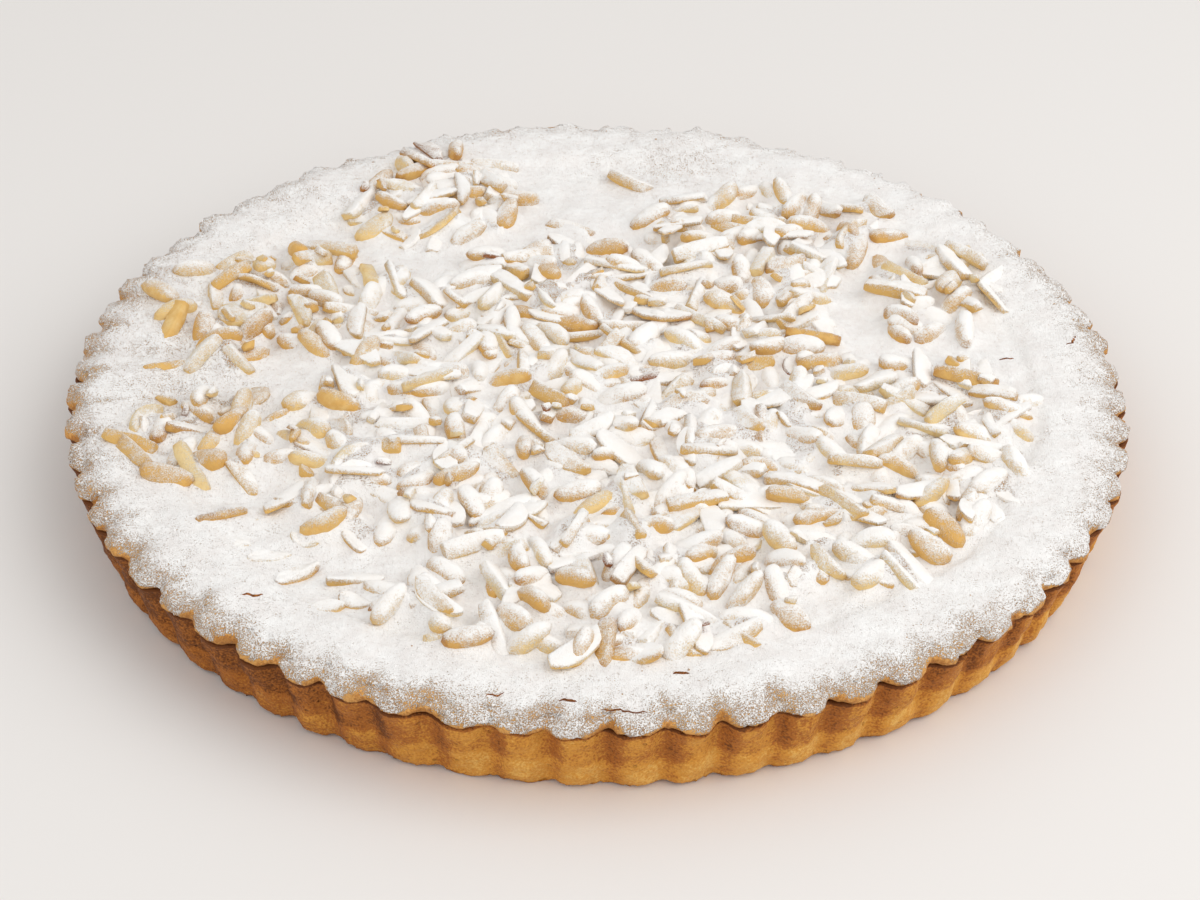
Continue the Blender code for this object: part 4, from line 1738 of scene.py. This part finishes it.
class Look:
    """A new material whose Principled shader gets its colour, roughness and relief."""

    def __init__(self, name: str, effects: Effects, shine: float) -> None:
        """Makes the material with nothing but its shader and output, and sets how much it reflects."""
        self.material = bpy.data.materials.new(name)
        self.material.use_nodes = True
        self.effects = effects
        self.sheet = NodeSheet(self.material.node_tree)
        self.place = self.sheet.add("ShaderNodeTexCoord").outputs["Object"]
        self.shader = self.material.node_tree.nodes["Principled BSDF"]
        self.shader.inputs["Specular IOR Level"].default_value = shine

    def baked(self, dough: DoughColours) -> Socket:
        """The colour of dough, as brown as the piece stores it, with the painted shade that the same value
        carries.
        """
        stored = self.sheet.value("bake_and_shade")
        node = self.sheet.group(self.effects.browning, Place=self.place, Bake=stored, **dough.as_inputs())
        return node.outputs["Colour"]

    def sugared(self, colour: Socket, sugar: SugarColours, grains: float) -> tuple[Socket, Socket, Socket]:
        """Lays sugar over a colour, as much as the piece stores.

        Args:
            colour: What is under the sugar.
            sugar: The sugar's own colours.
            grains: How grainy the edge of the sugar is.

        Returns:
            The colour, where the sugar lies from 0 to 1, and its relief.
        """
        sheet = self.sheet
        stored = sheet.value("cover")
        dusting = sheet.group(self.effects.dusting, Place=self.place, Cover=stored, Grains=grains).outputs
        white = sheet.blend(dusting["Shade"], sugar.dull, sugar.bright)
        relief = sheet.sum(sheet.times(dusting["Mask"], 0.8), dusting["Grain"])
        return sheet.blend(dusting["Mask"], colour, white), dusting["Mask"], relief

    def finish(self, colour: Socket, roughness: Source, height: Socket, relief: float) -> bpy.types.Material:
        """Feeds the shader.

        Args:
            colour: The surface's colour.
            roughness: How matt it is.
            height: The relief, in shares of relief.
            relief: How deep the relief is, in metres.

        Returns:
            The material.
        """
        bump = self.sheet.add("ShaderNodeBump")
        bump.inputs["Distance"].default_value = relief
        self.sheet.feed(bump.inputs["Height"], height)
        self.sheet.feed(self.shader.inputs["Base Color"], colour)
        self.sheet.feed(self.shader.inputs["Roughness"], roughness)
        self.sheet.feed(self.shader.inputs["Normal"], bump.outputs["Normal"])
        return self.material


@dataclass(frozen=True)
class BakedCrustFinish:
    """The bare, baked wall of the case, with the painted shade that its stored browning carries."""

    effects: Effects
    dough: DoughColours = DoughColours()
    shine: float = 0.22
    relief: float = 0.00070
    pits: float = 0.8

    def make(self) -> bpy.types.Material:
        """Builds the material."""
        look = Look("baked_shortcrust_wall", self.effects, self.shine)
        grain = look.sheet.group(self.effects.grain, Place=look.place, Pits=self.pits).outputs
        return look.finish(look.baked(self.dough), grain["Shine"], grain["Height"], self.relief)


@dataclass(frozen=True)
class DustedPastryFinish:
    """The lid's dough with icing sugar over it, and the painted shade that its stored browning carries."""

    effects: Effects
    dough: DoughColours = DoughColours(
        pale=linear(236, 190, 122),
        golden=linear(220, 163, 90),
        brown=linear(184, 124, 62),
        dark=linear(116, 72, 36),
    )
    sugar: SugarColours = SugarColours()
    shine: float = 0.25
    relief: float = 0.00044
    grains: float = 2.3
    matter: float = 0.3
    dough_relief: float = 0.5

    def make(self) -> bpy.types.Material:
        """Builds the material."""
        look = Look("sugared_shortcrust_lid", self.effects, self.shine)
        sheet = look.sheet
        grain = sheet.group(self.effects.grain, Place=look.place, Pits=0.0).outputs
        colour, mask, lying = look.sugared(look.baked(self.dough), self.sugar, self.grains)
        roughness = sheet.sum(grain["Shine"], sheet.times(mask, self.matter))
        height = sheet.sum(sheet.times(grain["Height"], self.dough_relief), lying)
        return look.finish(colour, roughness, height, self.relief)


@dataclass(frozen=True)
class DustedNutFinish:
    """A nut's own colours under the sugar that it caught."""

    effects: Effects
    name: str
    pale: Colour
    golden: Colour
    toasted: Colour
    skin: Colour = linear(150, 94, 54)
    sugar: SugarColours = SugarColours(dull=linear(246, 242, 237))
    shine: float = 0.30
    relief: float = 0.00026
    grains: float = 1.1
    tones: tuple[Span, ...] = ((0.0, 0.6), (0.80, 1.40), (1.40, 1.80))
    tone_spread: float = 0.7
    nut_relief: float = 0.5
    # How matt the nut and the sugar on it are
    matt: Span = (0.48, 0.95)

    def make(self) -> bpy.types.Material:
        """Builds the material."""
        look = Look(self.name, self.effects, self.shine)
        sheet = look.sheet
        uneven = sheet.times(sheet.speckle(look.place, NUT_MOTTLE), self.tone_spread)
        tone = sheet.sum(sheet.value("tone"), uneven)
        colour = self.pale
        for darker, limits in zip((self.golden, self.toasted, self.skin), self.tones):
            colour = sheet.blend(sheet.step(*limits, tone), colour, darker)
        colour, mask, lying = look.sugared(colour, self.sugar, self.grains)
        height = sheet.sum(lying, sheet.times(sheet.speckle(look.place, NUT_GRAIN, 3.0), self.nut_relief))
        return look.finish(colour, sheet.step(0.0, 1.0, mask, *self.matt), height, self.relief)


@dataclass
class Studio:
    """The camera at the photograph's angle, a pale floor, and soft light from the upper right."""

    lens: float = 83.17
    sensor: float = 36.0
    elevation: float = math.radians(35.5465)
    roll: float = math.radians(0.7666)
    # The distance and the point looked at, in shares of the rim radius
    distance: float = 5.36182
    look_point: Span = (0.0052957, 0.0152046)
    floor_size: float = 12.0
    floor_colour: Colour = linear(229, 226, 223)
    floor_roughness: float = 0.9
    world_colour: Colour = (1.0, 0.991, 0.982, 1.0)
    world_strength: float = 0.735
    light_size: float = 1.2
    key_power: float = 7.15
    key_from: Triple = (0.80, -0.28, 0.90)
    fill_power: float = 3.4
    fill_from: Triple = (-0.60, -0.95, 1.0)

    def place_camera(self) -> None:
        """Sets the camera, turned a little about its own line of sight."""
        eye = bpy.data.cameras.new("photo_camera")
        eye.lens = self.lens
        eye.sensor_width = self.sensor
        camera = bpy.data.objects.new("photo_camera", eye)
        bpy.context.scene.collection.objects.link(camera)
        back = Vector((0.0, -math.cos(self.elevation), math.sin(self.elevation)))
        upward = Vector((0.0, math.sin(self.elevation), math.cos(self.elevation)))
        right = Vector((1.0, 0.0, 0.0))
        turned_right = math.cos(self.roll) * right + math.sin(self.roll) * upward
        turned_up = -math.sin(self.roll) * right + math.cos(self.roll) * upward
        turn = Matrix((turned_right, turned_up, back)).transposed().to_4x4()
        start = Vector((*self.look_point, 0.0)) * RIM_RADIUS
        camera.matrix_world = Matrix.Translation(start + back * self.distance * RIM_RADIUS) @ turn
        bpy.context.scene.camera = camera

    def add_floor(self) -> None:
        """Lays the floor under the tart."""
        deselect_all()
        bpy.ops.mesh.primitive_plane_add(size=self.floor_size)
        floor = bpy.context.object
        floor.name = "studio_floor"
        look = bpy.data.materials.new("studio_floor")
        look.use_nodes = True
        shader = look.node_tree.nodes["Principled BSDF"]
        shader.inputs["Base Color"].default_value = self.floor_colour
        shader.inputs["Roughness"].default_value = self.floor_roughness
        floor.data.materials.append(look)

    def add_light(self, name: str, power: float, place: Triple) -> None:
        """Hangs one soft square light that faces the tart.

        Args:
            name: Its name.
            power: In watts.
            place: Where it hangs.
        """
        lamp = bpy.data.lights.new(name, "AREA")
        lamp.energy = power
        lamp.size = self.light_size
        light = bpy.data.objects.new(name, lamp)
        light.location = place
        light.rotation_euler = Vector(place).to_track_quat("Z", "Y").to_euler()
        bpy.context.scene.collection.objects.link(light)

    def build(self) -> None:
        """Sets up camera, floor, world and lights."""
        self.place_camera()
        self.add_floor()
        world = bpy.data.worlds.new("studio")
        world.use_nodes = True
        surroundings = world.node_tree.nodes["Background"].inputs
        surroundings["Color"].default_value = self.world_colour
        surroundings["Strength"].default_value = self.world_strength
        bpy.context.scene.world = world
        self.add_light("key_light", self.key_power, self.key_from)
        self.add_light("fill_light", self.fill_power, self.fill_from)
        bpy.context.scene.view_settings.view_transform = "Standard"


def nut_heaps(effects: Effects) -> list[tuple[NutHeap, DustedNutFinish]]:
    """The five kinds of nut, each with its finish."""
    pine_look = DustedNutFinish(
        effects, "dusted_pine_nut", linear(240, 208, 144), linear(222, 174, 96), linear(172, 112, 50)
    )
    almond_look = DustedNutFinish(
        effects, "dusted_almond", linear(240, 214, 158), linear(224, 180, 104), linear(182, 124, 58)
    )
    slivers = NutHeap("almond_slivers", NutKind.SLIVER, "almond", model_sliver, (-0.3, 0.3), 0.3, 0.00026)
    flakes = NutHeap("almond_flakes", NutKind.FLAKE, "almond", model_flake, (-0.5, 0.9), 0.6, 0.00020)
    halves = NutHeap("almond_halves", NutKind.HALF, "almond", model_half, (-0.6, 0.6), 0.5, 0.00030, 0.02)
    shards = NutHeap("almond_shards", NutKind.SHARD, "almond", model_shard, (-0.2, 0.2), 0.3, 0.00030, 0.06)
    pine_nuts = NutHeap("pine_nuts", NutKind.PINE, "pine_nut", model_pine_nut, (-0.15, 0.40), 0.1, 0.00022)
    return [(pine_nuts, pine_look)] + [(heap, almond_look) for heap in (slivers, flakes, halves, shards)]


def main() -> None:
    """Builds the tart's pieces in order, dresses them and sets up the studio."""
    logging.basicConfig(level=logging.INFO, format="%(message)s")
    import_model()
    solids_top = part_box("pastry_lid")[1][2]
    effects = Effects()
    wall_work = CrustWall()
    wall = wall_work.build()
    wall_work.dress(wall, BakedCrustFinish(effects))
    nuts, heights = NutScatter().scatter(solids_top - SCATTER_CLEARANCE)
    lid_work = DustedLid()
    lid = lid_work.build(heights)
    lid_work.dress(lid, DustedPastryFinish(effects))
    crumb_work = Crumbs()
    crumb_work.dress(crumb_work.build(lid), lid.data.materials[0])
    crack_work = RimCracks()
    crack_work.dress(crack_work.build(lid), wall.data.materials[0])
    for heap, finish in nut_heaps(effects):
        heap.dress(heap.build(nuts, heights, solids_top - NUT_CLEARANCE), finish)
    Studio().build()
    bpy.context.view_layer.update()


if __name__ == "__main__":
    main()
